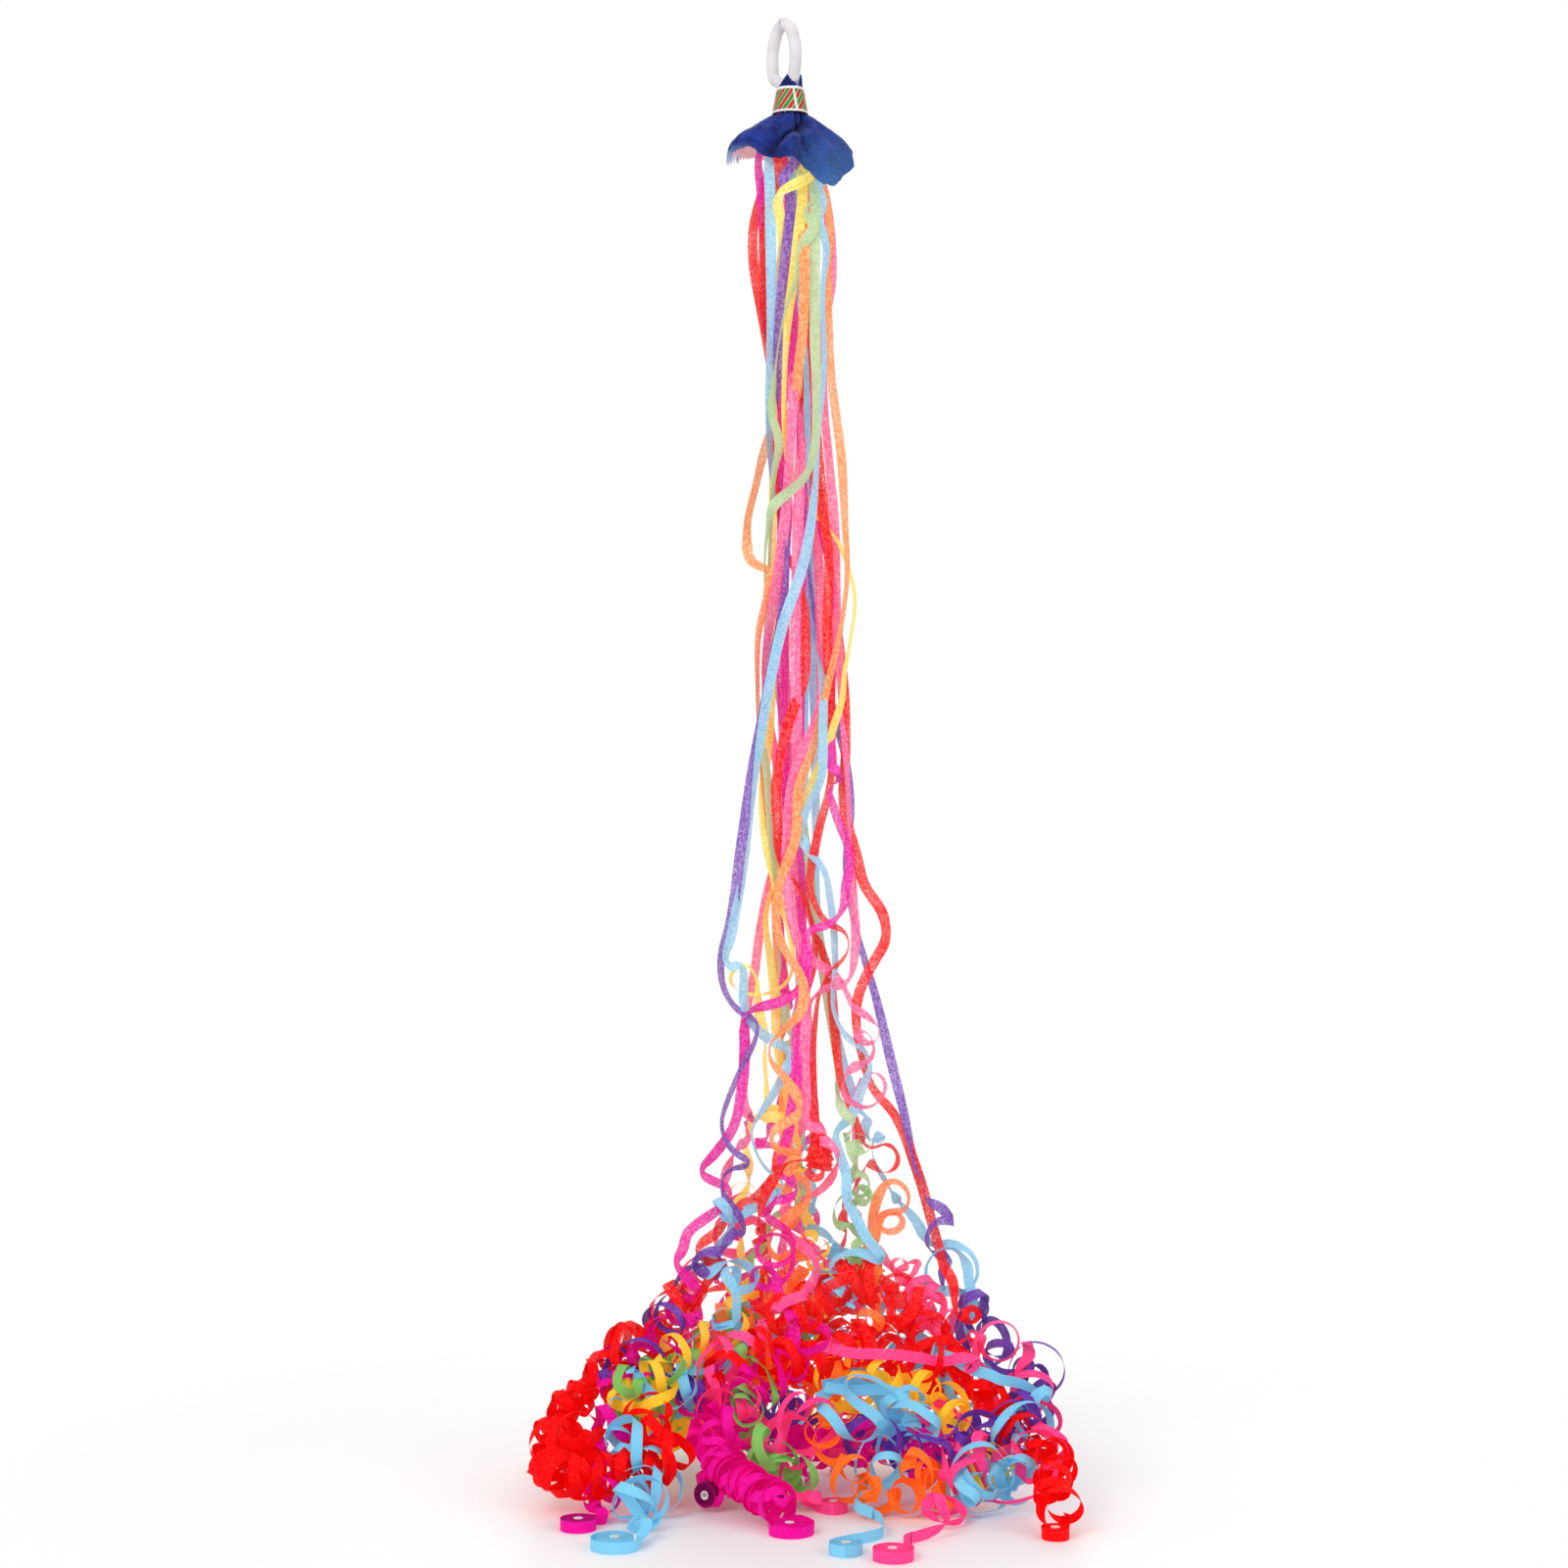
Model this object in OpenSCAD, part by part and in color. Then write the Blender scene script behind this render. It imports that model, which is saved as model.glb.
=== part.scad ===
// Throw streamer. A finger loop holds a gathered tissue neck in a card sleeve, and two dozen
// paper strips hang from it and lie on the floor in curls, many still joined to a small roll.
// Millimetres. The finger seat is the origin, X is to the right, Y is away from the thrower's
// front, and Z is up.

/* [Overall] */
// Drop from the finger seat to the floor
hang_height = 940; // [860:10:1020]
// Sideways step from the finger seat to the neck
neck_step = 4; // [2:0.5:6]

/* [Finger loop] */
// Diameter of the soft tube
tube_d = 8; // [7:0.5:9]
// Clear gap between the two legs
finger_gap = 14.7; // [13:0.1:17]
// Drop from the finger seat to the middle of the parallel legs
leg_drop = 18; // [16:1:20]
// Turn of the loop about the upright
loop_turn = -50; // [-60:5:-40]
// Diameter that the leg ends are squeezed to
leg_end_d = 4.4; // [4:0.1:4.8]

/* [Neck] */
// Drop from the finger seat to the top of the card sleeve
neck_drop = 38; // [36:1:42]
// Height of the card sleeve
sleeve_h = 17; // [14:1:19]
// Outside diameter at the top of the sleeve
sleeve_top_d = 17.5; // [17:0.5:19]
// Outside diameter at the bottom of the sleeve
sleeve_bottom_d = 23.6; // [22:0.2:26]
// Thickness of the card
card_t = 0.5; // [0.4:0.1:0.6]
// Angle that the sleeve's ends overlap
flap_angle = 32; // [20:4:48]
// Diameter of the binding thread
thread_d = 0.7; // [0.5:0.1:0.8]
// Turns of the binding thread
thread_turns = 2; // [2:1:3]

/* [Tissue] */
// Drawn thickness of the tissue
tissue_t = 0.5; // [0.4:0.1:0.6]
// Number of soft folds round the skirt
folds = 8; // [6:1:10]
// Depth of a fold at the skirt's edge
fold_depth = 2.6; // [1:0.2:3]

/* [Strips and rolls] */
// Width of a paper strip
paper_w = 7; // [6.6:0.1:7.4]
// Drawn thickness of a paper strip
paper_t = 0.3; // [0.2:0.05:0.35]
// Least room between hanging strips
lane_gap = 1.5; // [1.2:0.1:2]
// Radius of a curl that lies on the floor
curl_r = 16; // [15:0.5:16.5]
// Radius of a coil that stands on the floor
standing_r = 11; // [10:0.5:12]
// Room between one curl and the next
curl_gap = 3.5; // [3:0.5:4]
// Outside diameter of a roll's white core
core_d = 5.5; // [5:0.1:6]
// Bore of a core
core_bore = 3.5; // [3:0.1:4]
// Clearance between parts that touch in use
fit = 0.3; // [0.25:0.05:0.4]

/* [Hidden] */
$fn = 48;
tube_r = tube_d / 2;
neck_top = -neck_drop;
neck_bottom = neck_top - sleeve_h;
floor_z = -hang_height;

// Sizes in the neck, from the sleeve inwards
throat_r = sleeve_top_d / 2 - card_t - fit;
tie_r = throat_r - 0.5;
plug_r = tie_r - tissue_t - fit;
plug_top = neck_top - 3;
plug_h = 9;
plug_bottom = plug_top - plug_h;
leg_depth = 5;
leg_offset = plug_r - leg_end_d / 2 - fit - 0.5;
tie_z = neck_top - 7;
thread_pitch = thread_d + 0.6;
thread_r = tie_r + fit + thread_d / 2;

// Shells of strips: how many hang in each, where the first one hangs, and how each shell
// turns on its way down, in degrees at the steps of the drop
shell_count = [3, 8, 13];
shell_start = [90, 200, 198];
shell_turn = [
    [0, 40, 90, 120, 90, 60, 60],
    [0, -14, -30, -38, -20, -6, 0],
    [0, 10, 22, 12, -6, -12, -14]
];
lane = paper_w + lane_gap;
neck_pitch = (plug_r - 1.9) / 2;
neck_strip_w = 2.2;
skirt_z = neck_bottom - 52;
spread_h = 250;
landing_h = 150;
drop_steps = 5;
spread = [1, 1, 1.15, 1.35, 1.6, 2, 3.2];
heap_shift = 12;
curl_pitch = paper_w + curl_gap;
loose_turns = 1.75;
loose_rings = 10;
hang_rings = 5;
turns_on_floor = 2;
rings_per_curl = 7;
wrap_rings = 4;
wrap_angle = 88;

// Distance out from the heap's middle at which the outer strips come down to the floor
landing_r = 104;

function unit(v) = v / norm(v);
function mix(a, b, f) = a + (b - a) * f;
function rise(x) = let (c = min(max(x, 0), 1)) c * c * (3 - 2 * c);

// A point about the neck's own upright
function about_neck(r, a, z) = [neck_step + r * cos(a), r * sin(a), z];
// A point about the middle of the heap, with its height above the floor
function about_heap(p) = [neck_step + heap_shift + p[0] * cos(p[1]), p[0] * sin(p[1]), floor_z + p[2]];

// Smooth curve through a list of points
function along(p, t) =
    let (
        last = len(p) - 1,
        i = max(min(floor(t), last - 1), 0),
        f = t - i,
        b = p[i],
        c = p[i + 1],
        a = i > 0 ? p[i - 1] : 2 * b - c,
        d = i + 2 <= last ? p[i + 2] : 2 * c - b
    )
    0.5 * (2 * b + (c - a) * f + (2 * a - 5 * b + 4 * c - d) * f * f + (3 * b - a - 3 * c + d) * f * f * f);

function directions(p) =
    [for (i = [0:len(p) - 1]) unit(p[min(i + 1, len(p) - 1)] - p[max(i - 1, 0)])];
function square_to(n, t) = unit(n - (n * t) * t);
function carried(t, first) =
    [
        for (
            i = 0, n = square_to(first, t[0]);
            i < len(t);
            i = i + 1, n = square_to(n, t[min(i, len(t) - 1)])
        ) n
    ];

// Two triangles for each side between one ring and the next, with the diagonal either way
function side(a, b, j, sides, swapped) =
    let (k = (j + 1) % sides)
    swapped
        ? [[a + j, b + j, a + k], [a + k, b + j, b + k]]
        : [[a + j, b + k, a + k], [a + j, b + j, b + k]];
// Rings of equal length joined in a row and closed at both ends. A thin strip has the diagonals
// of its back swapped, so that they lie behind those of its face.
function skin(rings, sides, back) = concat(
    [for (i = [0:rings - 2], j = [0:sides - 1]) each side(i * sides, (i + 1) * sides, j, sides, j == back)],
    [for (j = [1:sides - 2]) [0, j, j + 1]],
    [for (j = [1:sides - 2]) [0, j + 1, j] + (rings - 1) * sides * [1, 1, 1]]
);

module tube(path, radii, sides, first) {
    t = directions(path);
    n = carried(t, first);
    points = [
        for (i = [0:len(path) - 1], j = [0:sides - 1])
            path[i] + radii[i] * (cos(j * 360 / sides) * n[i] + sin(j * 360 / sides) * cross(t[i], n[i]))
    ];
    polyhedron(points, skin(len(path), sides, -1));
}

// Finger loop: half of its route as distance out in the loop's plane, height, and how far the
// point has moved over to the neck
half_gap = (finger_gap + tube_d) / 2;
leg_route = [
    [leg_offset, plug_top - leg_depth, 1],
    [leg_offset, plug_top - 1, 1],
    [leg_offset + 0.2, neck_top + 1, 0.95],
    [0.66 * half_gap, neck_top + 8, 0.4],
    [half_gap, -leg_drop - 5, 0],
    [half_gap, 5 - leg_drop, 0],
    [0.8 * half_gap, -tube_r - 1, 0],
    [0.45 * half_gap, tube_r - 2.2, 0]
];
function in_loop(s, row) =
    [s * row[0] * cos(loop_turn) + row[2] * neck_step, s * row[0] * sin(loop_turn), row[1]];
loop_route = concat(
    [for (row = leg_route) in_loop(1, row)],
    [[0, 0, tube_r]],
    [for (i = [len(leg_route) - 1:-1:0]) in_loop(-1, leg_route[i])]
);
loop_rings = 42;
loop_sides = 14;
loop_path = [for (i = [0:loop_rings - 1]) along(loop_route, i * (len(loop_route) - 1) / (loop_rings - 1))];
function leg_r(z) = mix(leg_end_d / 2, tube_r, rise((z - neck_top - 2) / 9));

module finger_loop() {
    color([0.92, 0.91, 0.92])
        tube(loop_path, [for (p = loop_path) leg_r(p[2])], loop_sides, [cos(loop_turn), sin(loop_turn), 0]);
}

// Plug of set glue that holds the leg ends and the strips' gathered ends
module anchor_plug() {
    color([0.95, 0.93, 0.85])
        difference() {
            translate([neck_step, 0, plug_bottom]) cylinder(r = plug_r, h = plug_h);
            for (s = [-1, 1])
                translate(in_loop(s, [leg_offset, plug_top - leg_depth - fit, 1]))
                    cylinder(d = leg_end_d + 2 * fit, h = leg_depth + 1);
        }
}

module sleeve_band(inset, outset) {
    rotate_extrude(angle = inset > 0 ? flap_angle : 360)
        polygon([
            [sleeve_bottom_d / 2 - card_t + inset, 0],
            [sleeve_bottom_d / 2 + outset, 0],
            [sleeve_top_d / 2 + outset, sleeve_h],
            [sleeve_top_d / 2 - card_t + inset, sleeve_h]
        ]);
}

// Printed card sleeve, a cone with its ends overlapped in a flap
module neck_sleeve() {
    color([0.97, 0.97, 0.97])
        translate([neck_step, 0, neck_bottom]) {
            sleeve_band(0, 0);
            rotate([0, 0, -38 - flap_angle]) sleeve_band(card_t / 2, card_t);
        }
}

// Thread that ties the tissue round the plug
thread_steps = 24;
thread_path = [
    for (i = [0:thread_steps * thread_turns])
        about_neck(thread_r, i * 360 / thread_steps, tie_z + thread_pitch * (thread_turns / 2 - i / thread_steps))
];

module binding_thread() {
    color([0.9, 0.88, 0.85])
        tube(thread_path, [for (p = thread_path) thread_d / 2], 6, [1, 0, 0]);
}

// Tissue wrapper: its edge as angle, reach and height, then its profile from crown to edge
tissue_edge = [
    [0, 38, -86],
    [45, 36, -88],
    [90, 34, -92],
    [135, 36, -87],
    [180, 40, -80],
    [225, 33, -85],
    [270, 27, -84],
    [315, 40, -101]
];
edge_step = 360 / len(tissue_edge);
function edge_at(a) =
    let (i = floor(a / edge_step), f = rise(a / edge_step - i), n = len(tissue_edge))
    mix(tissue_edge[i % n], tissue_edge[(i + 1) % n], f);
crown_h = 3.6;
// Notches in the crown that the loop's legs come out of, as angle and depth
crown_notches = [[285, 2.6], [140, 3.6]];
notch_half_angle = 45;
function notch(a) = max([for (n = crown_notches) n[1] * rise(1.2 - 1.2 * abs(a - n[0]) / notch_half_angle)]);
function crown_z(a) = neck_top + crown_h - notch(a) + 0.5 * sin(3 * a);
function profile(a) =
    let (e = edge_at(a))
    [
        [throat_r + 0.6, crown_z(a)],
        [throat_r, neck_top],
        [tie_r, tie_z + 2],
        [tie_r, tie_z - 2],
        [tie_r + 1.2, neck_bottom + 2],
        [mix(tie_r, e[1], 0.16), neck_bottom - 2],
        [mix(tie_r, e[1], 0.42), mix(neck_bottom, e[2], 0.28)],
        [mix(tie_r, e[1], 0.72), mix(neck_bottom, e[2], 0.52)],
        [mix(tie_r, e[1], 0.92), mix(neck_bottom, e[2], 0.76)],
        [e[1], e[2]]
    ];
tissue_rows = 10;
tissue_sides = 32;
skirt_row = 5;
function tissue_point(a, row) =
    let (
        p = profile(a)[row],
        depth = fold_depth * max(row - skirt_row, 0) / (tissue_rows - 1 - skirt_row)
    )
    about_neck(p[0] + depth * sin(folds * a), a, p[1]);
function tissue_inward(a, row) =
    let (
        up = tissue_point(a, max(row - 1, 0)),
        down = tissue_point(a, min(row + 1, tissue_rows - 1)),
        left = tissue_point((a + 355) % 360, row),
        right = tissue_point((a + 5) % 360, row)
    )
    unit(cross(up - down, right - left));
tissue_angles = [for (j = [0:tissue_sides - 1]) j * 360 / tissue_sides];
tissue_outer = [for (row = [0:tissue_rows - 1], a = tissue_angles) tissue_point(a, row)];
tissue_inner = [
    for (row = [0:tissue_rows - 1], a = tissue_angles)
        tissue_point(a, row) + tissue_t * tissue_inward(a, row)
];
// The inner rows run down, the outer rows run back up, and the last row meets the first
tissue_points = concat(
    tissue_inner,
    [for (row = [tissue_rows - 1:-1:0], j = [0:tissue_sides - 1]) tissue_outer[row * tissue_sides + j]]
);
tissue_faces = [
    for (row = [0:2 * tissue_rows - 1], j = [0:tissue_sides - 1])
        each side(
            row * tissue_sides,
            (row + 1) % (2 * tissue_rows) * tissue_sides,
            j,
            tissue_sides,
            row >= tissue_rows
        )
];

module tissue_wrapper() {
    color([0.12, 0.24, 0.62])
        polyhedron(tissue_points, tissue_faces);
}

// Routes on the floor, as distance out from the heap's middle, angle, and height
// A strip that ends in a standing coil over a roll lying flat
function to_flat_roll(land, r, a) = [
    [landing_r, land, 64],
    [mix(landing_r, r, 0.5), mix(land, a, 0.5), 24],
    [r - 16, a, 42],
    [r, a, 44],
    [r, a, 22 + paper_w / 4],
    [r, a, paper_w / 2]
];
// A strip from the middle shell that ends in a standing coil over a roll lying flat
function to_near_roll(r, a) = [
    [r - 46, a, 88],
    [r - 20, a, 52],
    [r, a, 44],
    [r, a, 22 + paper_w / 4],
    [r, a, paper_w / 2]
];
// A strip that lies down in curls pointing outwards, with its end at a given distance
function to_lying_curls(r, a, coil_r) = let (h = coil_r + 2) [
    [r - 50, a, 84],
    [r - 46, a, h + 22],
    [r - 32, a, h + 1],
    [r - 16, a, h],
    [r, a, h]
];
// A strip from the outer shell that lies down in curls
function to_outer_curls(land, r, a) = let (h = curl_r + 2) [
    [landing_r, land, 64],
    [r - 46, a, h + 14],
    [r - 32, a, h + 1],
    [r - 16, a, h],
    [r, a, h]
];
// A strip from the inner shell that stands in a stretched coil in the middle
function to_middle_coil(a) = [
    [20, a, 112],
    [20, a, 80],
    [20, a, 44],
    [20, a, 22 + paper_w / 4],
    [20, a, paper_w / 2]
];

// Strips: name, shell, place in the shell, twist on the way down, curl direction, radius of the
// loose curls, radius of the coil at the end, route on the floor, and the diameter of the roll
// at its end, or 0 for a spent core
strips = [
    ["red_1", 2, 6, 70, 1, 13, standing_r, to_flat_roll(312, 214, 313), 17],
    ["red_2", 2, 12, -50, 1, 13, standing_r, to_flat_roll(168, 165, 165), 19],
    ["red_3", 2, 0, 100, -1, 9, curl_r, to_outer_curls(203, 168, 203), 0],
    ["red_4", 0, 0, 140, 1, 8, standing_r, to_middle_coil(150), 0],
    ["magenta_1", 2, 1, -70, 1, 5, standing_r, to_flat_roll(219, 195, 224), 22],
    ["magenta_2", 1, 1, 60, -1, 5, standing_r - 1, to_lying_curls(113, 236, standing_r - 2), 16.5],
    ["magenta_3", 2, 3, 90, -1, 5, standing_r, to_flat_roll(257, 146, 265), 20],
    ["magenta_4", 0, 1, -120, -1, 8, standing_r, to_middle_coil(270), 0],
    ["pink_1", 1, 2, 40, 1, 5, standing_r, to_near_roll(94, 279), 17.6],
    ["pink_2", 2, 5, -90, -1, 6, standing_r, to_flat_roll(293, 209, 283), 21],
    ["pink_3", 1, 6, 80, 1, 6, curl_r, to_lying_curls(98, 112, curl_r), 0],
    ["pink_4", 0, 2, 90, 1, 8, standing_r, to_middle_coil(30), 0],
    ["blue_1", 2, 2, 50, -1, 5, standing_r, to_flat_roll(227, 213, 237), 22],
    ["blue_2", 2, 4, -60, 1, 5, standing_r, to_flat_roll(269, 192, 276), 20],
    ["blue_3", 1, 5, -80, -1, 6, standing_r, to_near_roll(92, 70), 19],
    ["blue_4", 2, 7, 60, 1, 13, curl_r, to_outer_curls(338, 152, 338), 0],
    ["orange_1", 2, 9, -40, -1, 13, standing_r, to_flat_roll(48, 170, 52), 20],
    ["orange_2", 1, 3, 110, 1, 6, curl_r, to_lying_curls(96, 326, curl_r), 0],
    ["yellow_1", 2, 10, 90, 1, 13, standing_r, to_flat_roll(88, 150, 90), 18],
    ["yellow_2", 1, 0, -60, -1, 6, curl_r, to_lying_curls(98, 186, curl_r), 0],
    ["green_1", 2, 11, -90, -1, 13, standing_r, to_flat_roll(128, 166, 126), 21],
    ["green_2", 1, 7, 50, -1, 6, curl_r, to_lying_curls(98, 148, curl_r), 0],
    ["purple_1", 2, 8, 40, 1, 13, standing_r, to_flat_roll(14, 156, 16), 19],
    ["purple_2", 1, 4, -100, 1, 6, curl_r, to_lying_curls(98, 28, curl_r), 0]
];
paints = [
    ["red", [0.93, 0.05, 0.08]],
    ["magenta", [0.84, 0.04, 0.46]],
    ["pink", [0.97, 0.36, 0.56]],
    ["blue", [0.48, 0.76, 0.9]],
    ["orange", [0.99, 0.52, 0.3]],
    ["yellow", [1, 0.84, 0.25]],
    ["green", [0.58, 0.8, 0.5]],
    ["purple", [0.48, 0.26, 0.6]]
];
function starts(name, word) = len([for (i = [0:len(word) - 1]) if (name[i] == word[i]) i]) == len(word);
function family(name) = [for (p = paints) if (starts(name, p[0])) p[1]][0];

function place(s) = shell_start[s[1]] + s[2] * 360 / shell_count[s[1]];
function end_r(s) = (s[8] > 0 ? s[8] : core_d) / 2;

// The line that a strip follows or curls about: the neck, the drop, then the floor
function strip_axis(s) =
    let (
        k = s[1],
        a = place(s),
        shell_r = (k + 0.9) * lane,
        neck_r = 1.2 + k * neck_pitch,
        top = plug_bottom - fit
    )
    concat(
        [
            about_neck(neck_r, a, top),
            about_neck(1.12 * neck_r, a, top - 6),
            about_neck(mix(neck_r, shell_r, 0.5), a, mix(top, skirt_z, 0.46))
        ],
        [for (i = [0:drop_steps])
            let (f = i / drop_steps)
            about_neck(
                shell_r * spread[i] + sin(250 * f + 97 * s[2]),
                a + shell_turn[k][i],
                mix(skirt_z, floor_z + spread_h, f)
            ) + [heap_shift * f, 0, 0]],
        [about_heap([shell_r * spread[drop_steps + 1], a + shell_turn[k][drop_steps + 1], landing_h])],
        [for (p = s[7]) about_heap(p)]
    );

// Rings along a strip, as place on its axis, angle about it, distance from it, and width
hang_start = 2;
hang_end = 8;
// Radii at which the chords of a coarse coil, and of the finer last wrap, clear the roll
function clear_r(s) = (end_r(s) + fit + paper_t / 2) / cos(180 / rings_per_curl) + 0.1;
function wrap_r(s) = (end_r(s) + fit + paper_t / 2) / cos(wrap_angle / wrap_rings / 2);
function strip_rings(s) =
    let (
        axis = strip_axis(s),
        last = len(axis) - 1,
        hand = s[4],
        step = norm(axis[last] - axis[last - 2]) / 2,
        coil = last - turns_on_floor * curl_pitch / step,
        open = 90 + s[3],
        loose = open + hand * 360 * loose_turns,
        tight = loose + hand * 360 * turns_on_floor,
        coil_r = max(s[6], clear_r(s)),
        floor_rings = turns_on_floor * rings_per_curl
    )
    concat(
        [for (i = [0:hang_start])
            [i, 90, 0, i < hang_start ? neck_strip_w : mix(neck_strip_w, paper_w, 0.6)]],
        [for (i = [1:hang_rings])
            let (f = i / hang_rings)
            [mix(hang_start, hang_end, f), mix(90, open, f), 0, paper_w]],
        [for (i = [1:loose_rings])
            let (f = i / loose_rings)
            [mix(hang_end, coil, f), mix(open, loose, f), s[5] * sin(180 * f), paper_w]],
        [for (i = [1:floor_rings])
            let (f = i / floor_rings)
            [
                mix(coil, last, f),
                mix(loose, tight, f),
                f < 0.35 ? coil_r * rise(f / 0.35) : mix(coil_r, clear_r(s), rise((f - 0.5) / 0.5)),
                paper_w
            ]],
        [for (i = [1:wrap_rings])
            let (f = i / wrap_rings)
            [last, tight + hand * wrap_angle * f, mix(clear_r(s), wrap_r(s), rise(2 * f)), paper_w]]
    );

function strip_path(s) =
    let (
        axis = strip_axis(s),
        rings = strip_rings(s),
        last = len(axis) - 1,
        a = [for (r = rings) along(axis, r[0])],
        t = [
            for (r = rings)
                unit(along(axis, min(r[0] + 0.02, last)) - along(axis, min(r[0], last - 0.02) - 0.02))
        ],
        n = carried(t, [-sin(place(s)), cos(place(s)), 0]),
        out = [for (i = [0:len(rings) - 1]) cos(rings[i][1]) * n[i] + sin(rings[i][1]) * cross(t[i], n[i])]
    )
    [for (i = [0:len(rings) - 1]) [a[i] + rings[i][2] * out[i], out[i], rings[i][3]]];

module streamer(s) {
    path = strip_path(s);
    t = directions([for (p = path) p[0]]);
    points = [
        for (i = [0:len(path) - 1])
            let (
                across = unit(cross(t[i], path[i][1])) * path[i][2] / 2,
                face = unit(cross(across, t[i])) * paper_t / 2,
                p = path[i][0]
            )
            each [p + across + face, p + across - face, p - across - face, p - across + face]
    ];
    color(family(s[0]))
        polyhedron(points, skin(len(path), 4, 1));
}

// Where a strip ends, and which way its roll or core points
function end_point(s) = let (axis = strip_axis(s)) axis[len(axis) - 1];
function end_way(s) = let (axis = strip_axis(s)) unit(axis[len(axis) - 1] - axis[len(axis) - 2]);

module at_end(s) {
    way = end_way(s);
    translate(end_point(s))
        rotate([0, acos(way[2]), atan2(way[1], way[0])])
            children();
}

module washer(outer_d, inner_d, width) {
    difference() {
        cylinder(d = outer_d, h = width, center = true);
        cylinder(d = inner_d, h = width + 2, center = true);
    }
}

// Paper still wound on its core
module roll(s) {
    color(family(s[0]) * 0.9)
        at_end(s) washer(s[8], core_d + 2 * fit, paper_w);
}

module core(s) {
    color([0.95, 0.94, 0.93])
        at_end(s) washer(core_d, core_bore, paper_w);
}

rolled = [for (s = strips) if (s[8] > 0) s];
spent = [for (s = strips) if (s[8] == 0) s];

module spent_cores() {
    for (s = spent)
        core(s);
}

// Least room between the turns of one strip's coil, and of the thread, measured on their points
function coil_room(s) =
    let (
        p = strip_path(s),
        n = len(p),
        first = n - wrap_rings - turns_on_floor * rings_per_curl,
        stop = n - wrap_rings - 1
    )
    min([for (i = [first:stop - rings_per_curl]) norm(p[i][0] - p[i + rings_per_curl][0]) - paper_w]);
echo(least_room_in_coils = min([for (s = strips) coil_room(s)]));
thread_room = [
    for (i = [0:thread_steps * (thread_turns - 1)])
        norm(thread_path[i] - thread_path[i + thread_steps]) - thread_d
];
echo(least_room_in_thread = min(thread_room));

finger_loop();
anchor_plug();
neck_sleeve();
binding_thread();
tissue_wrapper();
spent_cores();
for (s = strips)
    streamer(s);
for (s = rolled) {
    roll(s);
    core(s);
}
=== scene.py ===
"""Throw streamer: a finger loop, a printed neck, a torn tissue skirt and strips that fall into a heap."""

import math
from collections import namedtuple

import bpy
import numpy as np
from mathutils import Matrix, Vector, noise


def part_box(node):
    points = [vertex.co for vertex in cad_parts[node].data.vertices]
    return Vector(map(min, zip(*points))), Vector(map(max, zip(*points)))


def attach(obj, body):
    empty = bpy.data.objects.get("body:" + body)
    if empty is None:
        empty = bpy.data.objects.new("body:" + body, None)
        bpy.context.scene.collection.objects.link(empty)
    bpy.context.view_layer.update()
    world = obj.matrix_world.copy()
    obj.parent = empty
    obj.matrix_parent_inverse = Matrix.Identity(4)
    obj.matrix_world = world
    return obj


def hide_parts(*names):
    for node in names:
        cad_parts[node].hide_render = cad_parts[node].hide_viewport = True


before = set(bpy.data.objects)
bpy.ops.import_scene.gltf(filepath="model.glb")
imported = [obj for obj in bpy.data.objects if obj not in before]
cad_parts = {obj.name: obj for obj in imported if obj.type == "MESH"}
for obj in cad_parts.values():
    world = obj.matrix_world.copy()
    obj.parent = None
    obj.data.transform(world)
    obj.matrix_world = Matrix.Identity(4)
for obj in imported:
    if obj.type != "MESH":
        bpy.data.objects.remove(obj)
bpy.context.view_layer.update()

# Sizes in metres
MM = 0.001
NECK_X = 4 * MM
FLOOR_Z = -940 * MM
PAPER_W = 7 * MM
PAPER_T = 0.12 * MM
CORE_R = 2.75 * MM

# Neck and loop, in metres and radians
NECK_TOP = -38 * MM
NECK_BOTTOM = -55 * MM
TIE_R = 7.45 * MM
TIE_Z = -45 * MM
THREAD_R = 8.1 * MM
THREAD_PITCH = 1.3 * MM
PLY_R = 0.17 * MM
TISSUE_T = 0.12 * MM
TUBE_R = 4 * MM
LEG_END_R = 2.2 * MM
LEG_OUT = 3.65 * MM
LOOP_HALF = 11.35 * MM
LOOP_TURN = math.radians(-50)
SLEEVE_MID_R = 10.3 * MM
SEAM_ANGLE = math.radians(-100)
SEAM_LEAN = 10.6
BAR_PITCH = 6.2 * MM
BAR_SLANT = 0.65
BAR_START = 0.4
BAR_SHARE = 0.45
LOW_BORDER = 1.6 * MM
HIGH_BORDER = 1.7 * MM
SEAM_HALF = 0.07

# Light
WORLD_LIGHT = 0.62
FLOOR_HALF = 1.4
LAMP_AIM = (0, 0, -0.6)
LAMPS = [
    ("key", (-1.3, -1.9, 0.9), 26, 1.6),
    ("fill", (1.8, -1.4, 0.3), 12, 1.8),
    ("back", (0.2, 1.9, 0.5), 14, 1.8),
]

# Camera, level and in front of the loop
EYE = (0.0, -1.9, -0.49)
LENS = 67.1
SENSOR = 36.0


def add_camera():
    data = bpy.data.cameras.new("camera")
    data.sensor_width = SENSOR
    data.lens = LENS
    camera = bpy.data.objects.new("camera", data)
    camera.location = EYE
    camera.rotation_euler = (math.radians(90), 0, 0)
    bpy.context.collection.objects.link(camera)
    bpy.context.scene.camera = camera


add_camera()

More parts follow.
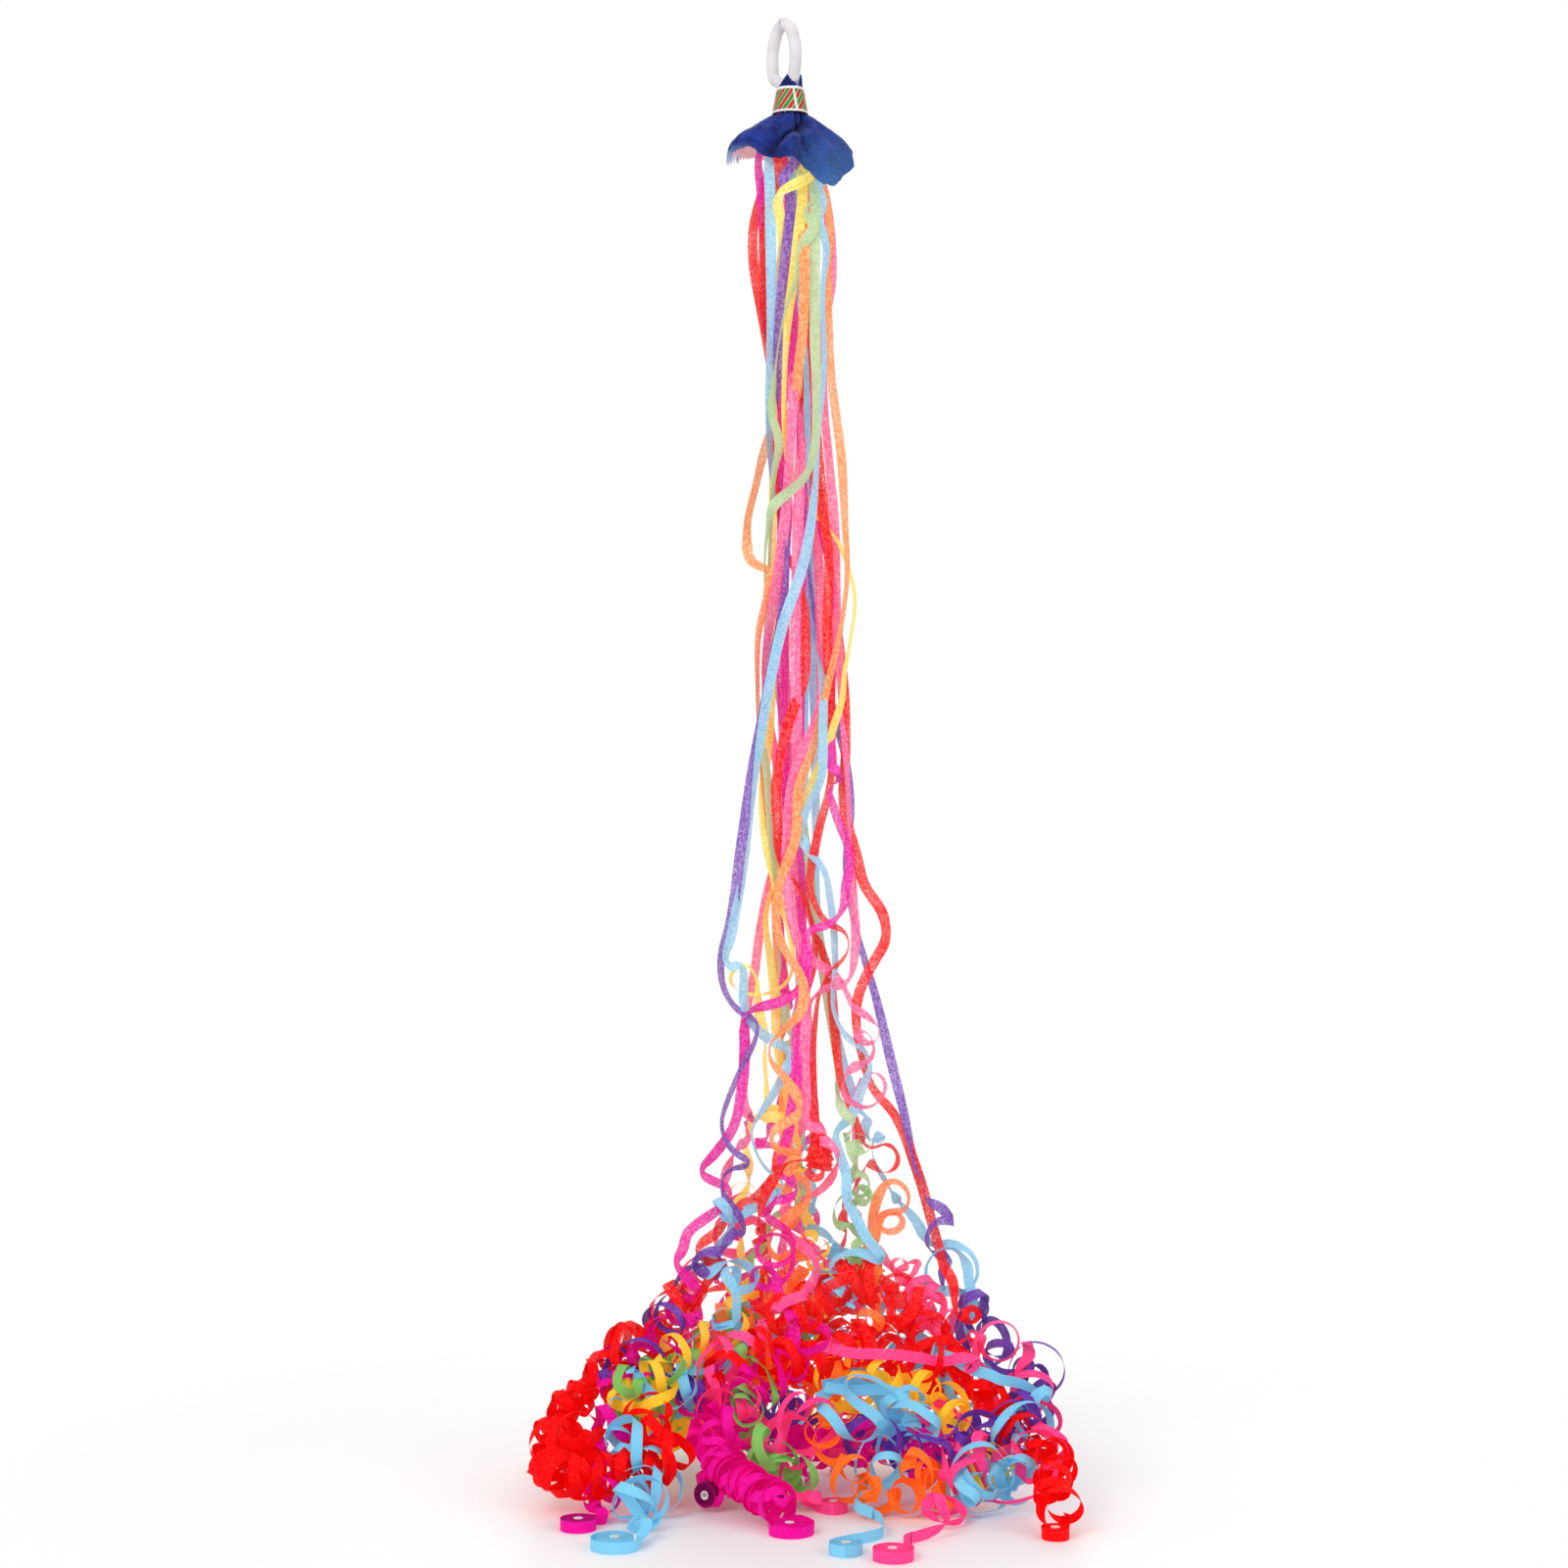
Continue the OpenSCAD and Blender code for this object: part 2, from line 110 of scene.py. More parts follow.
# Strips. Each one leaves the neck at a place in one of three shells, hangs through points given as x, y
# and z, and curls through the heap, to the left or right as its hand says. Its face is how far it is turned
# from flat to the front, in degrees, at even places down the hang. A heap row is x, y and height above the
# floor, and where the strip curls also the radius there and the turns made on the way to it. Lengths are
# in millimetres. A strip ends on its roll, or on a spent core given by its place and its direction.
Strip = namedtuple("Strip", "name shell place hand face hang heap core")
SHELL_COUNT = (3, 8, 13)
SHELL_START = (90, 200, 198)
NECK_RADII = (1.2, 3.6, 5.95)
NECK_Z = -50.5
NECK_RUN = 8

STRIPS = [
    Strip(
        "red_1", 2, 6, 1, (60, 50, 30, 40, 20, 10, 40, 20),
        [(12, 4, -110), (20, 8, -250), (34, 6, -380), (40, 1, -440), (40, 0, -470), (39, -2, -505),
         (48, -5, -540), (51, -6, -553), (65, -7, -577), (66, -8, -590), (57, -9, -607), (48, -10, -627),
         (50, -10, -665), (58, -8, -688), (70, -6, -702), (86, -4, -740), (101, -4, -792)],
        [(108, -14, 128, 4, 0.5), (118, -35, 92, 10, 2), (122, -52, 68, 12, 2), (138, -62, 58, 12, 3),
         (152, -86, 42, 10, 2), (164, -106, 38, 11, 3), (165, -126, 31, 11.5, 3),
         (163, -142, 22, 11.5, 2.6), (163, -151, 15, 11, 1.2), (168, -150, 5, 0, 0.3)],
        None,
    ),
    Strip(
        "red_2", 2, 12, 1, (60, 25, 70, 60, 40, 60, 30, 60),
        [(-14, -6, -105), (-20, -7, -131), (-20, -7, -150), (-15, -6, -184), (-11, -2, -212),
         (-6, 8, -262), (0, 14, -350), (4, 16, -500), (22, 4, -590), (29, -6, -612), (33, -9, -650),
         (37, -10, -682), (46, -10, -706), (53, -11, -724)],
        [(57, -12, 214, 0, 0.3), (64, -12, 218), (72, -12, 214), (74, -13, 206), (68, -13, 199),
         (60, -14, 200), (55, -14, 207), (48, -4, 184, 3, 0.3), (36, 16, 150, 8, 1.5), (0, 28, 124, 9, 2),
         (-50, 10, 112, 9, 2), (-88, -20, 100, 10, 3), (-113, -29, 81, 10, 3), (-127, -33, 64, 11, 3),
         (-141, -30, 48, 12, 3), (-148, -8, 34, 11, 3), (-147, 20, 22, 10, 3)],
        None,
    ),
    Strip(
        "red_3", 2, 0, -1, (20, 30, 75, 60, 15, 25, 60, 30),
        [(-2, -13, -84), (-6, -11, -105), (-13, -10, -124), (-13, -11, -139), (-13, -11, -171),
         (-12, -10, -195), (-8, -4, -216), (-6, -8, -262), (-5, -12, -285), (-4, -12, -300),
         (-2, -6, -325), (3, 2, -342), (13, -10, -372), (14, -12, -396), (12, -12, -426), (5, -14, -444),
         (-3, -14, -476), (-5, -14, -492), (-4, -14, -520), (-3, -12, -540), (8, -6, -552), (14, -4, -568),
         (20, -2, -592), (18, -2, -614), (12, 0, -631), (9, 2, -648), (9, 4, -668), (4, 4, -710)],
        [(-2, 0, 204), (-16, -14, 185), (-30, -17, 172), (-45, -19, 160), (-57, -20, 149), (-52, -21, 142),
         (-38, -21, 143), (-48, -20, 132, 4, 0.3), (-66, -22, 116, 12, 2), (-98, -34, 80, 12, 3),
         (-92, -70, 56, 12, 2), (-72, -86, 40, 14, 3), (-84, -96, 26, 14, 3), (-110, -98, 24, 14, 4),
         (-134, -100, 23, 14, 4), (-147, -86, 32, 14, 4), (-126, -76, 44, 15, 4), (-124, -60, 30, 13, 3)],
        (-139, -66, 18, 203),
    ),
    Strip(
        "red_4", 0, 0, 1, (80, 60, 30, 20, 30, 45, 70, 20),
        [(12, -2, -110), (14, 2, -250), (24, 0, -310), (28, -4, -332), (28, -5, -394), (31, -6, -465),
         (30, -8, -490), (22, -12, -522), (18, -14, -562), (28, -12, -580), (40, -12, -586),
         (42, -12, -596), (31, -13, -611), (24, -14, -622), (20, -14, -645), (19, -14, -680),
         (21, -14, -714)],
        [(22, -16, 222, 5, 0.6), (23, -17, 213, 9, 2.4), (22, -17, 204, 8, 2.4), (20, -22, 204, 4, 0.4),
         (12, -28, 209, 0, 0.2), (1, -31, 207), (-7, -32, 196), (-13, -32, 183), (-16, -32, 167),
         (-8, -18, 158, 5, 0.4), (-10, -22, 116, 13, 2), (8, -30, 106, 14, 4), (36, -22, 126, 14, 5),
         (56, -20, 128, 15, 4), (78, -20, 112, 15, 3), (94, -26, 94, 15, 3), (106, -38, 74, 14, 4),
         (60, -36, 92, 15, 5), (36, -36, 92, 15, 4), (10, -44, 82, 14, 4), (-20, -42, 86, 13, 5),
         (-48, -44, 72, 12, 2), (-10, -10, 56, 14, 3), (-1, 10, 22, 9, 2)],
        (-1, 10, 3.5, None),
    ),
    Strip(
        "magenta_1", 2, 1, 1, (10, 55, 75, 30, 15, 30, 10, 5),
        [(-16, -10, -82), (-15, -11, -107), (-13, -9, -142), (-11, -7, -196), (-6, -2, -216),
         (-2, -8, -236), (-2, -9, -276), (-2, -8, -310), (-2, -2, -400), (2, 0, -500), (12, -8, -590),
         (10, -14, -622), (1, -17, -629), (-12, -18, -633), (-22, -18, -636), (-25, -18, -642),
         (-25, -18, -661), (-27, -18, -683), (-33, -18, -712), (-46, -18, -730), (-54, -18, -740),
         (-47, -19, -745), (-35, -19, -751), (-34, -19, -757), (-47, -20, -767), (-64, -22, -783)],
        [(-64, -22, 152), (-70, -23, 143), (-62, -24, 134), (-53, -25, 126), (-54, -25, 119),
         (-65, -26, 121), (-76, -27, 115), (-72, -28, 107), (-60, -29, 107), (-54, -30, 112),
         (-62, -31, 104, 4, 0.2), (-84, -34, 94, 13, 2), (-102, -44, 70, 11, 3), (-88, -52, 60, 11, 3),
         (-112, -74, 40, 11, 3), (-114, -98, 16, 10, 2), (-112, -112, 9, 8, 1.5), (-106, -126, 4, 0, 0.3)],
        None,
    ),
    Strip(
        "magenta_2", 1, 1, -1, (60, 50, 40, 48, 50, 32, 45, 70, 68, 66, 60, 50, 52, 60),
        [(5, -6, -110), (5, -10, -203), (4, -12, -222), (0, -14, -240), (-2, -14, -262), (0, -10, -285),
         (3, -6, -310), (3, -8, -330), (3, -4, -362), (2, -6, -394), (2, -9, -420), (3, -8, -450),
         (6, -6, -500), (-2, -6, -540), (0, -12, -610)],
        [(2, 6, 280, 8, 1), (-2, 22, 222, 9, 1.5), (-10, 28, 176, 10, 2), (-22, 20, 146, 11, 2),
         (-30, -14, 96, 12, 2), (-44, -56, 56, 11, 4), (-48, -82, 38, 11, 4), (-40, -82, 18, 10, 2)],
        None,
    ),
    Strip(
        "magenta_3", 2, 3, -1, (50, 70, 40, 30, 20, 60, 30, 0),
        [(9, 10, -110), (14, 8, -250), (26, 6, -330), (32, 2, -362), (32, 2, -396), (30, 0, -440),
         (31, -12, -474)],
        [(35, -14, 448, 8, 1), (40, -13, 385, 0, 0.3), (37, -14, 367), (26, -15, 358), (16, -16, 356),
         (15, -16, 336), (12, -16, 318), (8, -18, 281), (8, -20, 262), (3, -22, 228), (0, -22, 212),
         (2, -24, 194), (8, -24, 187), (-11, -24, 181), (-13, -25, 172), (0, -26, 165), (6, -26, 158),
         (5, -27, 147), (-4, -27, 141), (-15, -27, 145), (-18, -28, 153), (-10, -28, 162), (3, -28, 158),
         (6, -29, 146), (3, -29, 135), (-8, -30, 128), (-18, -30, 130), (-21, -31, 138), (-14, -32, 142),
         (-5, -32, 136), (-4, -34, 122), (12, -42, 96, 12, 2), (-6, -52, 78, 11, 3), (-30, -76, 52, 12, 3),
         (-42, -92, 36, 12, 3), (-30, -108, 26, 12.5, 5), (-14, -124, 19, 12.5, 5.4),
         (0, -136, 14, 12, 3.2), (14, -134, 4, 0, 0.3)],
        None,
    ),
    Strip(
        "magenta_4", 0, 1, -1, (-30, 20, 60, 30, 10, 50, 70, 30),
        [(4, 0, -110), (8, 0, -250), (12, -10, -290), (13, -12, -312), (12, -4, -340), (10, 4, -450),
         (14, 6, -600), (18, 2, -690)],
        [(20, 18, 200, 7, 1), (0, 24, 140, 10, 2), (-34, 6, 98, 12, 3), (-62, -30, 66, 11, 4),
         (-40, -40, 40, 11, 3), (-8, -36, 34, 12, 4), (20, -40, 30, 12, 4), (50, -56, 34, 12, 4),
         (84, -66, 30, 12, 3), (114, -78, 30, 12, 3), (60, -44, 36, 13, 3), (20, -30, 26, 10, 3)],
        (16, -20, 3.5, None),
    ),
    Strip(
        "pink_1", 1, 2, 1, (20, 60, 10, -5, 5, 20, 50, 20),
        [(8, 0, -110), (12, 0, -250), (10, -14, -292), (9, -15, -322), (8, -15, -362), (7, -14, -400),
         (8, -13, -440), (8, -10, -480), (6, -8, -540), (12, 0, -620)],
        [(10, 6, 250, 4, 0.6), (4, 2, 200, 6, 0.8), (0, -12, 162, 0, 0.2), (9, -20, 155), (18, -26, 148),
         (22, -28, 137), (17, -30, 125), (6, -32, 110, 6, 0.5), (-14, -34, 100, 12, 1.5),
         (-44, -46, 76, 13, 2), (-30, -58, 66, 14, 2), (-34, -70, 56, 14, 2), (2, -64, 62, 19, 1),
         (14, -80, 46, 17, 1.2), (-10, -88, 38, 15, 1.5), (8, -92, 16, 14, 1.5), (15, -82, 4, 0, 0.3)],
        None,
    ),
    Strip(
        "pink_2", 2, 5, -1, (35, 15, 30, 20, 40, 60, 20, 5),
        [(26, 2, -105), (31, 2, -143), (31, 2, -162), (27, 4, -186), (25, 5, -228), (29, 4, -276),
         (32, 4, -310), (34, 2, -380), (38, 0, -440), (42, -4, -500), (45, -6, -566), (46, -8, -598),
         (40, -12, -619), (26, -15, -622), (17, -17, -630), (14, -18, -648), (14, -18, -690),
         (17, -18, -712)],
        [(25, -19, 226, 7, 0.8), (14, -20, 158, 10, 1), (34, -22, 104, 15, 1), (20, -40, 92, 6, 0.4),
         (32, -47, 90, 0, 0.2), (62, -53, 90), (96, -55, 86), (120, -57, 80, 4, 0.2),
         (132, -60, 66, 13, 1), (165, -74, 46, 18, 1), (158, -94, 30, 20, 1), (120, -98, 28, 20, 1),
         (106, -106, 12, 12, 1.3), (90, -130, 12, 13, 1), (98, -150, 7, 0, 0.4), (84, -162, 4),
         (72, -174, 4)],
        None,
    ),
    Strip(
        "pink_3", 1, 6, 1, (70, 55, 40, 30, 20, 25, 10, 30, 65, 50, 20, 35, 30, 20),
        [(2, 12, -110), (4, 4, -190), (6, -12, -228), (5, -18, -258), (3, -19, -290), (0, -19, -325),
         (-2, -17, -340), (-5, -16, -360), (-9, -15, -386), (-12, -14, -408), (-12, -8, -430),
         (-6, 2, -470), (0, 8, -510), (-12, 0, -566), (-16, -2, -588), (-20, -2, -617), (-23, -2, -629),
         (-26, -4, -680)],
        [(-24, -8, 190, 10, 1.5), (-40, -12, 150, 11, 2), (-58, -16, 118, 11, 2), (-46, -30, 84, 12, 2),
         (-70, -10, 70, 12, 3), (-80, 30, 50, 12, 4), (-50, 70, 34, 13, 4)],
        (-21, 91, 18, 112),
    ),
    Strip(
        "pink_4", 0, 2, 1, (30, 60, 40, 20, 15, 10, 40, 60),
        [(16, 4, -110), (20, 6, -300), (24, 2, -400), (21, -10, -450), (11, -16, -470), (5, -17, -492),
         (2, -17, -522), (2, -16, -556), (14, -12, -600), (36, -12, -617), (47, -12, -636)],
        [(56, -12, 298, 0, 0.3), (62, -12, 292), (60, -12, 284), (53, -13, 281), (47, -13, 285),
         (49, -13, 292), (56, -13, 287), (55, -13, 271), (46, -13, 268), (40, -14, 262), (38, -14, 250),
         (43, -14, 245), (52, -14, 241), (62, -14, 246), (66, -12, 256), (58, -6, 264), (48, 0, 250),
         (46, 2, 222), (48, 2, 185), (56, 0, 148, 5, 0.4), (84, -6, 130, 11, 1.5), (90, -10, 114, 12, 3),
         (112, -22, 96, 13, 3), (158, -40, 78, 16, 1.5), (152, -66, 52, 12, 1.5), (143, -84, 39, 0, 0.3),
         (122, -95, 29), (101, -104, 21), (92, -100, 32, 5, 0.5), (97, -88, 43, 0, 0.2), (110, -92, 38),
         (125, -94, 34), (119, -84, 45), (111, -74, 54), (98, -62, 50, 8, 0.8), (80, -56, 40, 13, 2),
         (40, -40, 36, 14, 3), (33, 10, 24, 10, 2)],
        (33, 10, 3.5, None),
    ),
    Strip(
        "blue_1", 2, 2, -1, (45, 52, 60, 57, 54, 40, 8, 12, 78, 45, 15, 35, 50, 65),
        [(25, -12, -98), (21, -13, -106), (26, -12, -113), (22, -12, -121), (27, -9, -139), (25, -8, -171),
         (26, -8, -220), (22, -12, -265), (19, -16, -310), (12, -18, -350), (0, -20, -385),
         (-10, -20, -430), (-17, -19, -475), (-24, -16, -535), (-34, -20, -588), (-37, -20, -606),
         (-34, -20, -609), (-28, -20, -605), (-26, -19, -612), (-26, -17, -632), (-16, -14, -650),
         (4, -16, -664), (-3, -18, -683), (-15, -20, -702), (-21, -20, -713), (-19, -20, -724),
         (-12, -21, -737), (0, -22, -747)],
        [(-24, -24, 182, 11, 1), (-40, -28, 150, 13, 1), (-30, -34, 120, 12, 1.5), (-50, -46, 80, 13, 2),
         (-88, -62, 60, 13, 2), (-104, -80, 44, 12, 2), (-78, -102, 20, 14, 3), (-90, -120, 17, 14, 3),
         (-86, -146, 14, 14, 2), (-84, -164, 4, 0, 0.3)],
        None,
    ),
    Strip(
        "blue_2", 2, 4, 1, (0, 5, 20, 75, 55, 48, 40, 65, 20),
        [(-9, -15, -84), (-9, -14, -107), (-8, -14, -203), (-9, -13, -250), (-8, -4, -290), (6, 8, -350),
         (20, 4, -398), (25, -12, -424), (25, -18, -457), (24, -19, -486), (15, -17, -506),
         (10, -14, -520), (16, -14, -533), (25, -12, -544), (30, -10, -566), (33, -12, -610),
         (32, -12, -636), (40, -12, -653), (52, -12, -662), (56, -12, -671), (50, -13, -687),
         (44, -14, -703)],
        [(36, -17, 224, 4, 0.3), (34, -19, 212, 0, 0.2), (40, -21, 197), (42, -21, 184), (47, -21, 170),
         (54, -22, 157), (65, -23, 143), (60, -24, 145), (46, -25, 150), (31, -26, 143),
         (36, -26, 128, 7, 0.6), (30, -26, 116, 13, 1.5), (56, -36, 92, 13, 1), (22, -60, 70, 0, 0.3),
         (48, -64, 70), (72, -64, 64, 4, 0.2), (48, -72, 58, 22, 1), (76, -66, 58, 15, 2),
         (86, -74, 46, 14, 2), (60, -84, 36, 14, 2), (62, -100, 20, 10, 1.5), (44, -112, 11, 0, 0.3),
         (50, -120, 8), (58, -130, 6), (60, -150, 4)],
        None,
    ),
    Strip(
        "blue_3", 1, 5, -1, (10, 30, 60, 70, 30, 50, 20, 60),
        [(6, -12, -94), (6, -12, -131), (8, -6, -160), (14, 0, -212), (15, -6, -244), (16, 4, -300),
         (14, 10, -450), (10, 12, -600)],
        [(10, 12, 240, 8, 2), (20, 8, 160, 12, 2), (50, 2, 120, 14, 3), (86, -4, 96, 14, 3),
         (118, -32, 66, 14, 3), (96, -20, 74, 14, 2), (40, 0, 84, 14, 3), (0, 6, 100, 14, 2),
         (-36, 10, 88, 13, 3), (-30, 40, 60, 13, 4), (10, 64, 44, 13, 4)],
        None,
    ),
    Strip(
        "blue_4", 2, 7, 1, (60, 30, 70, 40, 20, 50, 60, 20),
        [(14, 8, -110), (18, 10, -300), (20, 10, -450), (26, 8, -600), (44, 4, -690)],
        [(72, 0, 196, 9, 1.5), (86, 0, 166, 0, 0.3), (97, 0, 150), (109, -1, 151), (121, -2, 146),
         (126, -3, 134), (121, -4, 122), (109, -5, 117), (97, -6, 122), (92, -7, 134), (97, -8, 146),
         (109, -9, 150), (118, -10, 140), (119, -12, 122), (118, -16, 98), (104, -32, 92, 6, 0.4),
         (94, -47, 92, 0, 0.2), (126, -58, 80), (156, -66, 68, 4, 0.2), (150, -82, 46, 14, 2),
         (140, -98, 26, 14, 2), (112, -104, 18, 15, 3), (136, -90, 20, 14, 2), (148, -72, 20, 13, 1)],
        (157, -57, 18, 338),
    ),
    Strip(
        "orange_1", 2, 9, -1, (5, 8, 15, 27, 38, 48, 20, 58, 76, 64, 55, 58, 45, 30),
        [(12, -11, -110), (13, -16, -139), (13, -18, -174), (12, -18, -200), (9, -17, -226),
         (8, -10, -240), (2, 4, -250), (-6, 4, -258), (-12, -4, -272), (-18, -9, -296), (-24, -12, -328),
         (-21, -14, -347), (-9, -15, -353), (-10, -15, -365), (-16, -14, -390), (-17, -12, -430),
         (-14, -10, -480), (-8, -6, -540), (-4, -2, -620), (0, -2, -700)],
        [(4, 0, 180, 8, 2), (6, -6, 134, 9, 3), (-12, -20, 112, 10, 2), (-42, -28, 92, 10, 4),
         (-20, -38, 80, 10, 4), (2, -40, 70, 10, 3), (40, 20, 60, 12, 3), (80, 70, 46, 12, 4),
         (104, 112, 30, 11, 3)],
        None,
    ),
    Strip(
        "orange_2", 1, 3, 1, (15, 33, 48, 38, 30, 50, 86, 28, 25, 40, 52, 60, 38, 20),
        [(27, 0, -107), (29, 0, -185), (31, -2, -228), (37, -4, -276), (40, -6, -330), (41, -8, -346),
         (37, -10, -388), (28, -14, -427), (18, -16, -470), (10, -18, -490), (8, -18, -522),
         (-5, -20, -566), (-3, -20, -588), (1, -20, -598), (11, -21, -614), (13, -21, -624),
         (11, -21, -636), (0, -22, -648), (-9, -22, -657), (-9, -22, -667), (0, -22, -678), (8, -23, -690),
         (10, -23, -701), (-3, -23, -710), (-9, -23, -716), (-5, -24, -724), (11, -24, -728)],
        [(-1, -24, 202, 0, 0.2), (5, -22, 198), (16, -21, 194), (15, -20, 184), (2, -20, 171),
         (-6, -20, 164), (2, -18, 140, 8, 0.6), (12, -16, 128, 9, 2), (36, 4, 106, 4, 0.4),
         (56, 0, 140, 0, 0.2), (58, -8, 172), (62, -11, 186), (69, -12, 194), (78, -12, 190),
         (81, -13, 181), (77, -13, 174), (67, -14, 174), (60, -14, 170), (62, -15, 163), (70, -16, 161),
         (77, -16, 166), (75, -17, 173), (65, -18, 172), (58, -18, 156), (60, -20, 128, 9, 1.5),
         (40, -44, 72, 10, 3), (24, -72, 50, 9.5, 2), (36, -96, 32, 9.5, 2), (46, -106, 17, 10, 1.6),
         (70, -112, 14, 10, 2), (82, -102, 30, 10, 2), (94, -106, 17, 10, 2), (92, -72, 18, 11, 2)],
        (96, -54, 18, 326),
    ),
    Strip(
        "yellow_1", 2, 10, 1, (10, 20, 30, 45, 55, 50, 60, 86, 48, 38, 50, 58, 45, 30),
        [(12, -15, -104), (9, -16, -139), (6, -16, -164), (3, -17, -186), (1, -17, -212), (1, -16, -266),
         (5, -8, -290), (18, 4, -310), (34, 2, -330), (41, 0, -347), (46, -2, -368), (43, -4, -397),
         (39, -5, -420), (38, -6, -434), (32, -8, -453), (27, -10, -470), (18, -12, -490), (4, -10, -530),
         (-12, -8, -580), (-9, -8, -602), (-6, -8, -629), (-5, -8, -653), (-3, -8, -668), (4, -4, -700)],
        [(14, 0, 170, 7, 2), (22, -6, 132, 11, 2), (26, -20, 104, 12, 2), (46, -50, 66, 14, 2),
         (72, -50, 70, 13, 2), (98, -56, 62, 12, 3), (112, -70, 48, 11, 3), (126, -94, 24, 11, 2),
         (90, -30, 36, 12, 3), (50, 40, 28, 12, 4), (24, 104, 24, 12, 4)],
        None,
    ),
    Strip(
        "yellow_2", 1, 0, -1, (-10, 10, 60, 40, 20, 45, 30, 60),
        [(17, -17, -90), (20, -20, -97), (8, -22, -104), (-4, -22, -112), (-3, -18, -122), (-1, -16, -138),
         (-3, -6, -162), (-6, 4, -250), (-8, 6, -380), (-8, -4, -426), (-9, -6, -457), (-13, -8, -490),
         (-12, -10, -522), (-4, -12, -560), (5, -14, -594)],
        [(5, -15, 329), (0, -16, 321), (-15, -16, 314), (-28, -16, 316), (-35, -16, 322), (-33, -16, 330),
         (-25, -16, 334), (-19, -16, 328), (-16, -12, 300, 3, 0.3), (-10, 4, 260, 5, 0.5),
         (-16, 8, 210, 8, 1.5), (-34, 2, 150, 10, 2), (-20, -14, 116, 11, 2), (-68, -42, 84, 11, 3),
         (-86, -60, 64, 13, 3), (-98, -54, 56, 11, 3), (-78, -44, 48, 11, 3), (-70, -20, 26, 12, 2)],
        (-81.5, -10, 18, 186),
    ),
    Strip(
        "green_1", 2, 11, -1, (20, 60, 35, 78, 80, 25, 82, 84, 66, 55, 40, 45, 60, 20),
        [(14, -16, -100), (22, -18, -107), (23, -17, -112), (14, -19, -118), (13, -18, -122),
         (20, -17, -129), (12, -17, -142), (8, -18, -164), (1, -19, -186), (-3, -20, -204),
         (-6, -20, -228), (-8, -20, -250), (-3, -20, -273), (-6, -19, -287), (-8, -16, -314),
         (-10, -10, -360), (-13, -6, -430), (-13, -10, -467), (-10, -12, -492), (-8, -12, -522),
         (-5, -12, -548), (0, -8, -620)],
        [(6, 6, 240, 7, 1.5), (-6, 4, 150, 9, 2), (-34, -24, 100, 12, 1), (-20, -56, 66, 11, 2),
         (-24, -82, 44, 12, 2), (-8, -94, 32, 14, 2), (0, -98, 22, 14, 2), (-24, -46, 22, 12, 2),
         (-44, 20, 24, 12, 4), (-68, 92, 24, 12, 4)],
        None,
    ),
    Strip(
        "green_2", 1, 7, -1, (15, 5, 15, 50, 70, 75, 40, 10, 50),
        [(20, -13, -110), (20, -14, -131), (20, -14, -203), (21, -14, -250), (19, -18, -277),
         (14, -21, -292), (4, -23, -302), (-6, -22, -310), (-11, -18, -330), (-12, -10, -370),
         (-6, 2, -420), (10, 10, -500), (24, 4, -600), (36, -8, -680)],
        [(38, -13, 240, 0, 0.2), (46, -15, 226, 6, 0.8), (47, -16, 200, 6.5, 2.2),
         (47, -15, 168, 6.5, 2.4), (45, -13, 136, 8, 2), (34, -14, 112, 11, 2), (-14, -24, 102, 12, 2),
         (-60, -40, 78, 12, 3), (-94, -58, 62, 13, 3), (-84, -44, 50, 11, 3), (-70, 14, 40, 12, 3)],
        (-67, 52, 18, 148),
    ),
    Strip(
        "purple_1", 2, 8, 1, (0, 5, 15, 40, 60, 55, 45, 30, 25, 32, 45, 58, 50, 40),
        [(6, -14, -91), (-2, -17, -100), (4, -16, -108), (4, -15, -118), (3, -16, -131), (1, -16, -147),
         (-2, -16, -180), (-4, -14, -215), (0, -4, -270), (2, -15, -330), (1, -18, -362), (-4, -18, -392),
         (-12, -18, -436), (-20, -20, -476), (-27, -21, -526), (-36, -18, -585), (-40, -18, -599),
         (-40, -18, -617), (-37, -18, -626), (-28, -19, -637), (-17, -19, -643), (-18, -20, -653),
         (-25, -20, -668), (-34, -20, -688), (-40, -20, -712), (-33, -20, -726), (-21, -21, -734),
         (-38, -21, -740), (-40, -22, -750), (-28, -22, -769), (-25, -23, -778)],
        [(-42, -24, 158, 8, 0.5), (-58, -26, 124, 12, 2), (-84, -32, 92, 13, 2), (-104, -40, 68, 11, 3),
         (-72, -44, 70, 11, 3), (-50, -50, 64, 11, 3), (4, -56, 54, 12, 3), (0, -24, 34, 11, 3),
         (80, 4, 30, 12, 4), (138, 30, 26, 11, 3)],
        None,
    ),
    Strip(
        "purple_2", 1, 4, 1, (70, 30, 50, 74, 45, 60, 35, 50),
        [(10, 6, -110), (14, 8, -250), (20, 8, -380), (34, 4, -450), (43, 0, -489), (44, 0, -512),
         (40, -2, -535), (44, -4, -572), (60, -4, -630), (70, -4, -672), (77, -4, -700), (88, -4, -745)],
        [(98, -4, 168, 5, 0.5), (112, -4, 130, 12, 1), (124, -8, 100, 14, 2), (140, -24, 86, 15, 2),
         (162, -42, 68, 15, 2), (152, -66, 52, 11, 3), (126, -80, 46, 11, 3), (96, -90, 36, 11, 3),
         (50, -72, 44, 12, 2), (70, -20, 30, 12, 3), (92, 30, 22, 12, 3)],
        (102.5, 46, 18, 28),
    ),
]


# Steps of a strip's line, and how many points a turn of a curl has
STRIP_STEP = 2.2 * MM
ROUTE_STEP = 2 * MM
LEAST_RUN = 1e-5
TURN_POINTS = 30

# Curls. The radii and turns of the heap rows are scaled alike, and each turn in a stack leans on the next.
CURL_SIZE = 0.94
CURL_COUNT = 1.2
CURLED_RADIUS = 6 * MM
SLOW_PITCH = 10 * MM
SHINGLE = math.radians(24)

